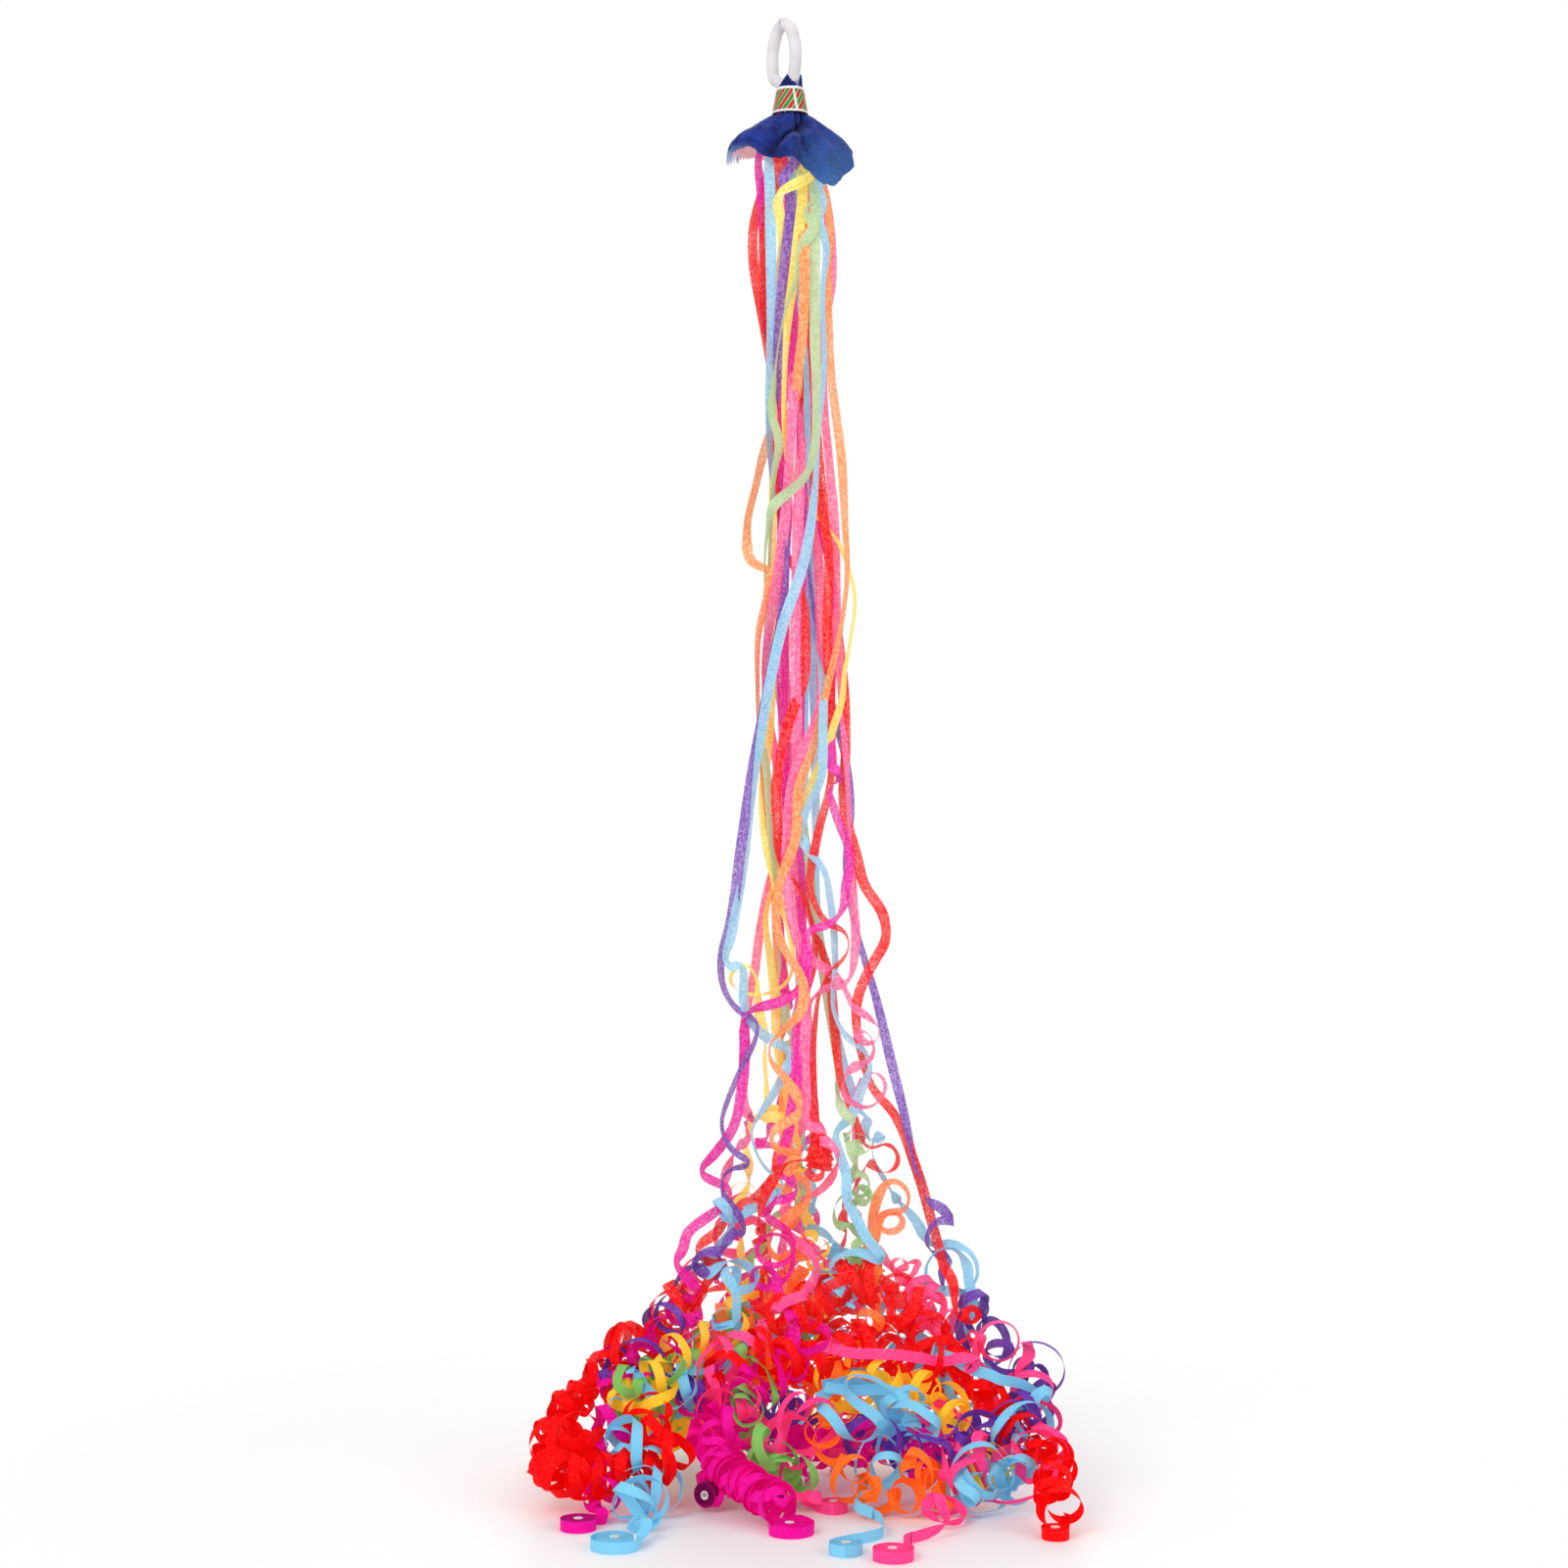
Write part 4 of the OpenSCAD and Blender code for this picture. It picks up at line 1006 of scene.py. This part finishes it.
def tissue(name, tones, glow):
    """Crumpled tissue with fine creases: painted shade in a fold, painted light where it is thin, pale
    where it is torn.
    """
    paint = Paint(name, 0.7, Sheen_Weight=0.1, Specular_IOR_Level=0.15, Emission_Strength=glow)
    place = paint.place()
    cloud = paint.node("ShaderNodeTexNoise", Vector=place, Scale=90.0, Detail=6.0, Roughness=0.7)
    tone = paint.ramp(cloud, 0.34, linear(tones["dark"]), 0.68, linear(tones["light"]))
    bent = paint.node("ShaderNodeTexNoise", output=1, Vector=place, Scale=60.0)
    twisted = paint.node("ShaderNodeMix", {"data_type": "VECTOR"}, output=1)
    twisted.node.inputs[0].default_value = 0.03
    paint.links.new(place, twisted.node.inputs[4])
    paint.links.new(bent, twisted.node.inputs[5])
    cell = paint.node("ShaderNodeTexVoronoi", {"feature": "DISTANCE_TO_EDGE"}, Vector=twisted, Scale=95.0)
    line = paint.node("ShaderNodeMapRange", Value=cell, From_Min=0.0, From_Max=0.05, To_Min=0.4, To_Max=0.0)
    colour = paint.mix(paint.math("MULTIPLY", line, cloud), tone, linear(tones["crease"]))
    mottle = paint.node("ShaderNodeTexNoise", Vector=place, Scale=600.0, Detail=3.0)
    # Painted light where the tissue is thin, painted shade in a fold, and the pale torn fringe
    for title, strength in (("lit", mottle), ("deep", 0.85), ("torn", 1.0)):
        share = paint.node("ShaderNodeAttribute", {"attribute_name": title}, output=2)
        colour = paint.mix(paint.math("MULTIPLY", share, strength), colour, linear(tones[title]))
    paint.feed("Base Color", colour)
    # The emission, as strong as glow, is a painted glow in the tissue's own colour
    paint.feed("Emission Color", colour)
    fold = paint.math("SUBTRACT", cloud, line)
    paint.bump(fold, 0.6, 0.8 * MM)
    return paint.material


def grained(name, light, dark, scale, roughness):
    """Pulp board, thread or set glue with a fine grain."""
    paint = Paint(name, roughness)
    grain = paint.node("ShaderNodeTexNoise", Vector=paint.place(), Scale=scale, Detail=4.0)
    paint.feed("Base Color", paint.ramp(grain, 0.3, linear(dark), 0.7, linear(light)))
    paint.bump(grain, 0.3, 0.1 * MM)
    return paint.material


def printed_card():
    """Card with slanted red and green bars between white borders, a seam that leans the other way, and a
    painted shadow along its lower edge.
    """
    paint = Paint("card", 0.5, Specular_IOR_Level=0.12)
    place = paint.place()
    split = paint.node("ShaderNodeSeparateXYZ", Vector=place)
    x, y, z = split.node.outputs
    angle = paint.math("ARCTAN2", y, paint.math("SUBTRACT", x, NECK_X))
    around = paint.math("MULTIPLY", angle, SLEEVE_MID_R)
    shifted = paint.math("SUBTRACT", around, paint.math("MULTIPLY", z, BAR_SLANT))
    step = paint.math("FRACT", paint.math("ADD", paint.math("DIVIDE", shifted, BAR_PITCH), BAR_START))
    red = paint.math("LESS_THAN", step, BAR_SHARE)
    green = paint.math("COMPARE", step, 0.5 + BAR_SHARE / 2)
    green.node.inputs[2].default_value = BAR_SHARE / 2
    low = paint.math("GREATER_THAN", z, NECK_BOTTOM + LOW_BORDER)
    high = paint.math("LESS_THAN", z, NECK_TOP - HIGH_BORDER)
    from_seam = paint.math("SUBTRACT", angle, SEAM_ANGLE)
    past_seam = paint.math("ADD", from_seam, paint.math("MULTIPLY", z, SEAM_LEAN))
    gap = paint.math("GREATER_THAN", paint.math("ABSOLUTE", past_seam), SEAM_HALF)
    inside = paint.math("MULTIPLY", paint.math("MULTIPLY", low, high), gap)
    grain = paint.node("ShaderNodeTexNoise", Vector=place, Scale=900.0, Detail=3.0)
    white = paint.ramp(grain, 0.3, linear((236, 233, 228)), 0.7, linear((250, 249, 246)))
    worn = paint.math("ADD", paint.math("MULTIPLY", grain, 0.1), 0.92)
    inked = paint.math("MULTIPLY", inside, worn)
    with_red = paint.mix(paint.math("MULTIPLY", red, inked), white, linear((212, 8, 6)))
    with_green = paint.mix(paint.math("MULTIPLY", green, inked), with_red, linear((8, 150, 26)))
    # Painted shadow that darkens the card towards its lower edge
    edge = paint.node(
        "ShaderNodeMapRange", Value=z, To_Min=0.8, To_Max=0.0,
        From_Min=NECK_BOTTOM + 0.1 * MM, From_Max=NECK_BOTTOM + 0.5 * MM,
    )
    paint.feed("Base Color", paint.mix(edge, with_green, linear((60, 40, 36))))
    paint.bump(grain, 0.2, 0.05 * MM)
    return paint.material


TUBE = soft_tube()
# The tones include painted light where light shows through the tissue and painted shade for its folds
FACE_TONES = {
    "dark": (8, 18, 78), "light": (30, 58, 160), "crease": (62, 98, 190),
    "lit": (84, 138, 190), "deep": (6, 10, 40), "torn": (160, 198, 236),
}
BACK_TONES = {
    "dark": (208, 178, 180), "light": (226, 200, 202), "crease": (238, 222, 224),
    "lit": (214, 206, 220), "deep": (150, 130, 150), "torn": (206, 226, 246),
}
TISSUE_FACE = tissue("tissue", FACE_TONES, 0.0)
# The underside has a painted glow that brightens the inside of the skirt
TISSUE_BACK = tissue("tissue_underside", BACK_TONES, 0.3)
CORE_CARD = grained("core", (250, 247, 245), (228, 222, 220), 900.0, 0.6)
GLUE = grained("glue", (240, 234, 214), (214, 204, 176), 400.0, 0.35)
THREAD = grained("thread", (232, 228, 220), (196, 190, 180), 1500.0, 0.75)
CARD = printed_card()


# Paper strips
STRIP_TREE = path_tree("paper strip", "GeometryNodeCurvePrimitiveQuadrilateral", ["Width", "Height"])


def make_strips():
    lines = [strip_line(strip, FIRST_SEED + SEED_STEP * i) for i, strip in enumerate(STRIPS)]
    settled = settle(lines, SETTLE_ROUNDS, SETTLE_REACH)
    for strip, (_, flat, tilt, state), points in zip(STRIPS, lines, settled):
        facing = faced(points, flat, tilt, state[:, 1])
        run = np.arange(len(points)) * STRIP_STEP
        spread = NECK_SPREAD + (1 - NECK_SPREAD) * np.clip((run - SPREAD_START) / SPREAD_RUN, 0, 1)
        mesh = path_mesh(strip.name + "_path", points, facing, spread)
        values = {"Width": PAPER_T, "Height": PAPER_W}
        dye = family(strip.name)
        piece = apply_tree("paper_strip_" + strip.name, STRIP_TREE, PAPERS[dye], values, mesh)
        hand_over(piece, "bundle", "streamer_" + strip.name)


make_strips()


# Rolls, each one a long spiral of paper wound on its core


def roll_tree():
    sizes = ("Turns", "Inner Radius", "Outer Radius", "Paper", "Breadth", "Unevenness")
    inputs = [("Material", "NodeSocketMaterial")]
    inputs += [(title, "NodeSocketFloat") for title in sizes]
    inputs += [("Centre", "NodeSocketVector"), ("Turned", "NodeSocketRotation")]
    tree = Tree("wound roll", inputs)
    spiral = tree.node(
        "GeometryNodeCurveSpiral", Resolution=40, Rotations=tree.inputs["Turns"],
        Start_Radius=tree.inputs["Inner Radius"], End_Radius=tree.inputs["Outer Radius"], Height=0.0,
    )
    layer = tree.node("ShaderNodeTexNoise", Scale=260.0)
    centred = tree.node("ShaderNodeMath", {"operation": "SUBTRACT"}, Value=layer)
    centred.node.inputs[1].default_value = 0.5
    lifted = tree.node("ShaderNodeMath", {"operation": "MULTIPLY"}, Value=centred)
    tree.tree.links.new(tree.inputs["Unevenness"], lifted.node.inputs[1])
    offset = tree.node("ShaderNodeCombineXYZ", Z=lifted)
    uneven = tree.node("GeometryNodeSetPosition", Geometry=spiral, Offset=offset)
    level = tree.node("GeometryNodeSetCurveNormal", {"mode": "Z_UP"}, Curve=uneven)
    profile = tree.node(
        "GeometryNodeCurvePrimitiveQuadrilateral", Width=tree.inputs["Paper"], Height=tree.inputs["Breadth"]
    )
    swept = tree.node("GeometryNodeCurveToMesh", Curve=level, Profile_Curve=profile, Fill_Caps=True)
    placed = tree.node(
        "GeometryNodeTransform", Geometry=swept,
        Translation=tree.inputs["Centre"], Rotation=tree.inputs["Turned"],
    )
    return tree.finish(placed)


ROLL_TREE = roll_tree()

# Pitch of the layers, the share of it that is paper, and how far the layers are short and uneven in breadth
LAYER = 0.42 * MM
LAYER_FILL = 0.6
ROLL_SHY = 0.5 * MM
UNEVENNESS = 0.9 * MM


def make_rolls():
    for strip in STRIPS:
        if strip.core is not None:
            continue
        middle, radius, axis = roll_place(strip.name)
        inner = CORE_R + LAYER / 2
        turned = Vector((0, 0, 1)).rotation_difference(Vector(axis)).to_euler()
        values = {
            "Turns": (radius - LAYER / 2 - inner) / LAYER, "Inner Radius": inner,
            "Outer Radius": radius - LAYER / 2, "Paper": LAYER_FILL * LAYER, "Breadth": PAPER_W - ROLL_SHY,
            "Unevenness": UNEVENNESS, "Centre": middle.tolist(), "Turned": turned,
        }
        roll = apply_tree("wound_roll_" + strip.name, ROLL_TREE, wound_paper(strip.name), values)
        hand_over(roll, strip.name + "_roll", "roll_" + strip.name)


make_rolls()


# Finger loop and the thread inside the neck
TUBE_TREE = path_tree("soft tube", "GeometryNodeCurvePrimitiveCircle", ["Radius"])
LOOP_POINTS = 140
SQUEEZE_START = 2 * MM
SQUEEZE_RUN = 9 * MM
THREAD_TURNS = 2
THREAD_POINTS = 260
THREAD_LAY = 40


def even_curve(rows, count):
    """Points at even stations on a smooth curve through rows."""
    stations = np.concatenate([[0], np.cumsum(np.linalg.norm(np.diff(rows, axis=0), axis=1))])
    return smooth_line(rows, np.linspace(0, stations[-1], count), stations)


def make_finger_loop():
    """Both ends go into the neck, the front one straight and the back one in a bend over the crown."""
    arch = [
        (LOOP_HALF, -23 * MM, 0), (LOOP_HALF, -13 * MM, 0), (0.8 * LOOP_HALF, -5 * MM, 0),
        (0.45 * LOOP_HALF, 1.8 * MM, 0),
    ]
    socket = [(LEG_OUT, NECK_TOP - 8 * MM, 1), (LEG_OUT, NECK_TOP - 4 * MM, 1)]
    front = socket + [
        (LEG_OUT + 0.2 * MM, NECK_TOP + 1 * MM, 0.95), (0.66 * LOOP_HALF, NECK_TOP + 8 * MM, 0.4),
    ]
    back = socket + [
        (LEG_OUT + 0.6 * MM, NECK_TOP + 1.6 * MM, 0.9), (0.6 * LOOP_HALF, NECK_TOP + 4.4 * MM, 0.5),
        (0.92 * LOOP_HALF, NECK_TOP + 8.5 * MM, 0.1),
    ]
    aim = np.array([math.cos(LOOP_TURN), math.sin(LOOP_TURN), 0])

    def in_loop(sign, row):
        return sign * row[0] * aim + np.array([row[2] * NECK_X, 0, row[1]])

    rows = [in_loop(1, row) for row in front + arch]
    rows += [np.array([0, 0, TUBE_R])]
    rows += [in_loop(-1, row) for row in (back + arch)[::-1]]
    points = even_curve(np.array(rows), LOOP_POINTS)
    share = np.clip((points[:, 2] - NECK_TOP - SQUEEZE_START) / SQUEEZE_RUN, 0, 1)
    radius = LEG_END_R + (TUBE_R - LEG_END_R) * share * share * (3 - 2 * share)
    side = np.cross(aim, unit(np.gradient(points, axis=0)))
    mesh = path_mesh("finger_loop_path", points, unit(side), radius / TUBE_R)
    loop = apply_tree("soft_finger_loop", TUBE_TREE, TUBE, {"Radius": TUBE_R}, mesh)
    hand_over(loop, "bundle", "finger_loop")


def make_thread():
    angle = np.linspace(0, THREAD_TURNS * 2 * math.pi, THREAD_POINTS)
    drop = TIE_Z + THREAD_PITCH * (1 - angle / (2 * math.pi))
    plies = []
    for ply in (0, math.pi):
        lay = THREAD_LAY * angle + ply
        out = THREAD_R + PLY_R * np.cos(lay)
        plies.append(
            np.column_stack([NECK_X + out * np.cos(angle), out * np.sin(angle), drop + PLY_R * np.sin(lay)])
        )
    points = np.vstack(plies)
    facing = np.tile([0.0, 0.0, 1.0], (len(points), 1))
    mesh = path_mesh("thread_path", points, facing, np.ones(len(points)), breaks=[len(angle)])
    thread = apply_tree("tied_thread", TUBE_TREE, THREAD, {"Radius": PLY_R}, mesh)
    hand_over(thread, "bundle", "binding_thread")


make_finger_loop()
make_thread()


# Tissue wrapper: gathered in the neck, with a crown above and a torn skirt below. The hem is given as
# angle from the right-hand side, reach from the neck's middle, and height, in degrees and millimetres.
HEM = [
    (0, 39.5, -84), (45, 37, -81), (90, 35, -80), (135, 37, -78), (160, 39, -79), (180, 40, -81),
    (196, 38, -81), (212, 33, -79), (228, 29, -85), (250, 27, -88), (270, 26, -87.5), (290, 29, -95),
    (308, 37, -106.5), (322, 41, -104), (338, 41.5, -94), (360, 39.5, -84),
]
# Share of the way out and of the way down, from the neck to the hem
SKIRT = [(0.0, 0.0), (0.16, 0.06), (0.45, 0.26), (0.79, 0.52), (0.96, 0.76), (1.0, 1.0)]
# Where the front folds in, deeply and in a finer crease, as share of the way to the hem and angle
VALLEY = [(0.0, 314), (0.3, 306), (0.46, 284), (0.66, 256), (1.0, 236)]
CREASE = [(0.0, 290), (0.46, 286), (0.8, 295), (1.0, 300)]
# Height of the crown above the neck, as angle and millimetres
CROWN = [
    (0, 7.5), (40, 3), (90, 2), (130, 1.2), (175, 6), (215, 8), (245, 7.2), (272, 3.4), (290, 3.8),
    (325, 7.8), (360, 7.5),
]
CROWN_LEAN = np.array([2.4, -3.5])
# Angle and half-width of the frayed part of the hem and of the part that light shows through, and the
# shares of the way to the hem at which these and the ragged edge begin
FRAYED = (172, 26)
FRAYED_START = 0.86
THIN = (318, 34)
THIN_START = 0.35
RAGGED_START = 0.9
FRINGE = 6.5
# How far the tissue widens at the sleeve's foot, and where in the sleeve that begins
FLARE = 0.9
FLARE_START = 0.75
CRUMPLE_SEED = 7
TISSUE_AROUND = 300
TISSUE_DOWN = 60


def angle_apart(angle, other):
    return np.abs((angle - other + 180) % 360 - 180)


def nearness(angle, middle, width):
    """1 at the middle, and less the further an angle lies from it."""
    return math.exp(-((angle_apart(angle, middle) / width) ** 2))


def past(share, start):
    """How far a share has come on its way from start to 1."""
    return max(share - start, 0) / (1 - start)


def along(rows, at):
    """Values of a table at places along its first column, on a smooth curve."""
    table = np.array(rows, dtype=float)
    return smooth_line(table[:, 1:], np.atleast_1d(at), table[:, 0])


def tissue_rows():
    """Rows of points from the crown to the hem, each once round the neck, and the painted shade of a fold
    on them.
    """
    angle = np.arange(TISSUE_AROUND) * 360 / TISSUE_AROUND
    turn = np.radians(angle)
    ring = np.column_stack([np.cos(turn), np.sin(turn)])
    gather = 0.25 * np.sin(34 * turn + 2 * np.sin(3 * turn)) + 0.2 * np.sin(21 * turn)
    pleat = np.sin(11 * turn + 1.5 * np.sin(2 * turn))
    pleat = pleat + 0.7 * np.sin(17 * turn + 1) + 0.5 * np.sin(5 * turn + 2)
    top, bottom, tie = NECK_TOP / MM, NECK_BOTTOM / MM, TIE_R / MM
    hem = along(HEM, angle)
    peak = along(CROWN, angle)[:, 0]
    no_fold = np.zeros(TISSUE_AROUND)
    rows = []
    for share in np.linspace(1, 0, 9):
        rise = peak * share
        lean = np.outer(np.clip(rise / 8, 0, 1), CROWN_LEAN)
        out = tie + 0.4 - 3.2 * np.clip(rise / 8, 0, 1) + gather
        rows.append((ring * out[:, None] + lean, top + rise, no_fold))
    for share in np.linspace(0.15, 1, 7):
        out = tie + FLARE * past(share, FLARE_START) + 0.4 * gather
        rows.append((ring * out[:, None], np.full(TISSUE_AROUND, top + (bottom - top) * share), no_fold))
    for share in np.linspace(0, 1, TISSUE_DOWN)[1:]:
        reach, drop = along([(i / (len(SKIRT) - 1), *row) for i, row in enumerate(SKIRT)], share)[0]
        out = tie + FLARE + (hem[:, 0] - tie - FLARE) * reach
        height = bottom + (hem[:, 1] - bottom) * drop
        out = out + pleat * (0.3 + 0.9 * share) * min(share * 6, 1) + gather * (1 - share)
        depth = math.sin(math.pi * min(share * 1.1, 1)) ** 0.7
        width = 7 + 5 * share
        valley = angle_apart(angle, along(VALLEY, share)[0, 0])
        crease = angle_apart(angle, along(CREASE, share)[0, 0])
        flap = angle_apart(angle, along(VALLEY, share)[0, 0] + 2 * width)
        out = out - 6.5 * depth * np.exp(-valley / width) + 3 * depth * np.exp(-((flap / width) ** 2))
        out = out - 3 * depth * np.exp(-crease / 5)
        # Painted shade, darkest in the valley of the fold and along the finer crease
        deep = depth * (np.exp(-((valley / (0.7 * width)) ** 2)) + 0.5 * np.exp(-((crease / 3.5) ** 2)))
        rows.append((ring * out[:, None], height, deep))
    middle = np.array([NECK_X, 0])
    return [(np.column_stack([middle + MM * flat, MM * height]), deep) for flat, height, deep in rows]


def crumple(point, amount):
    """A point of the tissue moved by large and small crumples with sharp creases."""
    where = Vector(point)
    outward = Vector((where.x - NECK_X, where.y, 0)).normalized()
    sharp = 3.4 * abs(noise.noise(where * 52)) + 1.5 * abs(noise.noise(where * 130)) - 1.0
    return where + amount * MM * (sharp * outward + 0.8 * noise.noise_vector(where * 85))


def make_tissue():
    noise.seed_set(CRUMPLE_SEED)
    rows = tissue_rows()
    skirt_start = len(rows) - TISSUE_DOWN + 1
    points = []
    # Shares of the pale torn fringe, the painted shade of the folds and the painted light where the tissue
    # is thin
    looks = {"torn": [], "deep": [], "lit": []}
    for i, (row, deep) in enumerate(rows):
        share = max(i - skirt_start, 0) / (TISSUE_DOWN - 2)
        looks["deep"] += deep.tolist()
        for j, point in enumerate(row):
            angle = j * 360 / TISSUE_AROUND
            frayed = nearness(angle, *FRAYED) * past(share, FRAYED_START)
            thin = nearness(angle, *THIN) * past(share, THIN_START)
            moved = crumple(point, 0.15 + share)
            around = (math.cos(math.radians(angle)), math.sin(math.radians(angle)))
            edge = noise.noise(Vector((*around, 0)) * 9)
            fine = noise.noise(Vector((*around, 3)) * 40)
            torn = 1.1 * edge + 0.5 * fine - FRINGE * frayed * (j % 2)
            moved.z += MM * past(share, RAGGED_START) * torn
            points.append(moved)
            looks["torn"].append(frayed)
            looks["lit"].append(thin)
    faces = [
        (above + j, above + TISSUE_AROUND + j, above + TISSUE_AROUND + k, above + k)
        for above in range(0, (len(rows) - 1) * TISSUE_AROUND, TISSUE_AROUND)
        for j, k in zip(range(TISSUE_AROUND), [*range(1, TISSUE_AROUND), 0])
    ]
    mesh = bpy.data.meshes.new("tissue_skirt")
    mesh.from_pydata(points, [], faces)
    for title, values in looks.items():
        mesh.attributes.new(title, "FLOAT", "POINT").data.foreach_set("value", values)
    mesh.materials.append(TISSUE_FACE)
    mesh.materials.append(TISSUE_BACK)
    mesh.shade_smooth()
    skirt = bpy.data.objects.new("tissue_skirt", mesh)
    bpy.context.collection.objects.link(skirt)
    wall = skirt.modifiers.new("wall", "SOLIDIFY")
    wall.thickness = TISSUE_T
    wall.offset = -1
    wall.material_offset = 1
    graph = bpy.context.evaluated_depsgraph_get()
    skirt.data = bpy.data.meshes.new_from_object(skirt.evaluated_get(graph))
    skirt.modifiers.remove(wall)
    hand_over(skirt, "bundle", "tissue_wrapper")


make_tissue()


# Pieces that keep their solid


def finish_solids():
    finishes = [("neck_sleeve", CARD), ("anchor_plug", GLUE), ("spent_cores", CORE_CARD)]
    finishes += [("core_" + strip.name, CORE_CARD) for strip in STRIPS if strip.core is None]
    for name, material in finishes:
        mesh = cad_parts[name].data
        mesh.materials.clear()
        mesh.materials.append(material)


finish_solids()


# Stage


def add_world():
    world = bpy.data.worlds.new("studio")
    bpy.context.scene.world = world
    world.use_nodes = True
    nodes, links = world.node_tree.nodes, world.node_tree.links
    light = nodes["Background"]
    light.inputs["Color"].default_value = (1, 1, 1, 1)
    path = nodes.new("ShaderNodeLightPath")
    seen = path.outputs["Is Camera Ray"]
    for ray in ("Is Glossy Ray", "Is Transmission Ray"):
        either = nodes.new("ShaderNodeMath")
        either.operation = "MAXIMUM"
        links.new(seen, either.inputs[0])
        links.new(path.outputs[ray], either.inputs[1])
        seen = either.outputs[0]
    strength = nodes.new("ShaderNodeMapRange")
    strength.inputs["To Min"].default_value = WORLD_LIGHT
    strength.inputs["To Max"].default_value = 1.0
    links.new(seen, strength.inputs["Value"])
    links.new(strength.outputs[0], light.inputs["Strength"])


def floor_material():
    """Pale floor that fades into the white of the backdrop away from the heap."""
    paint = Paint("floor", 0.5, Specular_IOR_Level=0.2, Base_Color=(0.97, 0.965, 0.97, 1))
    flat = paint.node("ShaderNodeVectorMath", {"operation": "MULTIPLY"})
    paint.links.new(paint.place(), flat.node.inputs[0])
    flat.node.inputs[1].default_value = (1, 1, 0)
    distance = paint.node("ShaderNodeVectorMath", {"operation": "LENGTH"}, output=1)
    paint.links.new(flat, distance.node.inputs[0])
    fade = paint.node(
        "ShaderNodeMapRange", {"interpolation_type": "SMOOTHSTEP"},
        Value=distance, From_Min=0.22, From_Max=0.6, To_Min=1.0, To_Max=0.0,
    )
    paint.feed("Alpha", fade)
    return paint.material


def add_stage():
    mesh = bpy.data.meshes.new("floor")
    z = FLOOR_Z - 0.1 * MM
    corners = [(-1, -1), (1, -1), (1, 1), (-1, 1)]
    mesh.from_pydata([(FLOOR_HALF * x, FLOOR_HALF * y, z) for x, y in corners], [], [(0, 1, 2, 3)])
    mesh.materials.append(floor_material())
    floor = bpy.data.objects.new("floor", mesh)
    bpy.context.collection.objects.link(floor)
    for name, place, power, size in LAMPS:
        data = bpy.data.lights.new(name, "AREA")
        data.energy = power
        data.size = size
        lamp = bpy.data.objects.new(name, data)
        lamp.location = place
        lamp.rotation_euler = (Vector(LAMP_AIM) - Vector(place)).to_track_quat("-Z", "Y").to_euler()
        bpy.context.collection.objects.link(lamp)


add_world()
add_stage()
bpy.context.scene.view_settings.view_transform = "Standard"
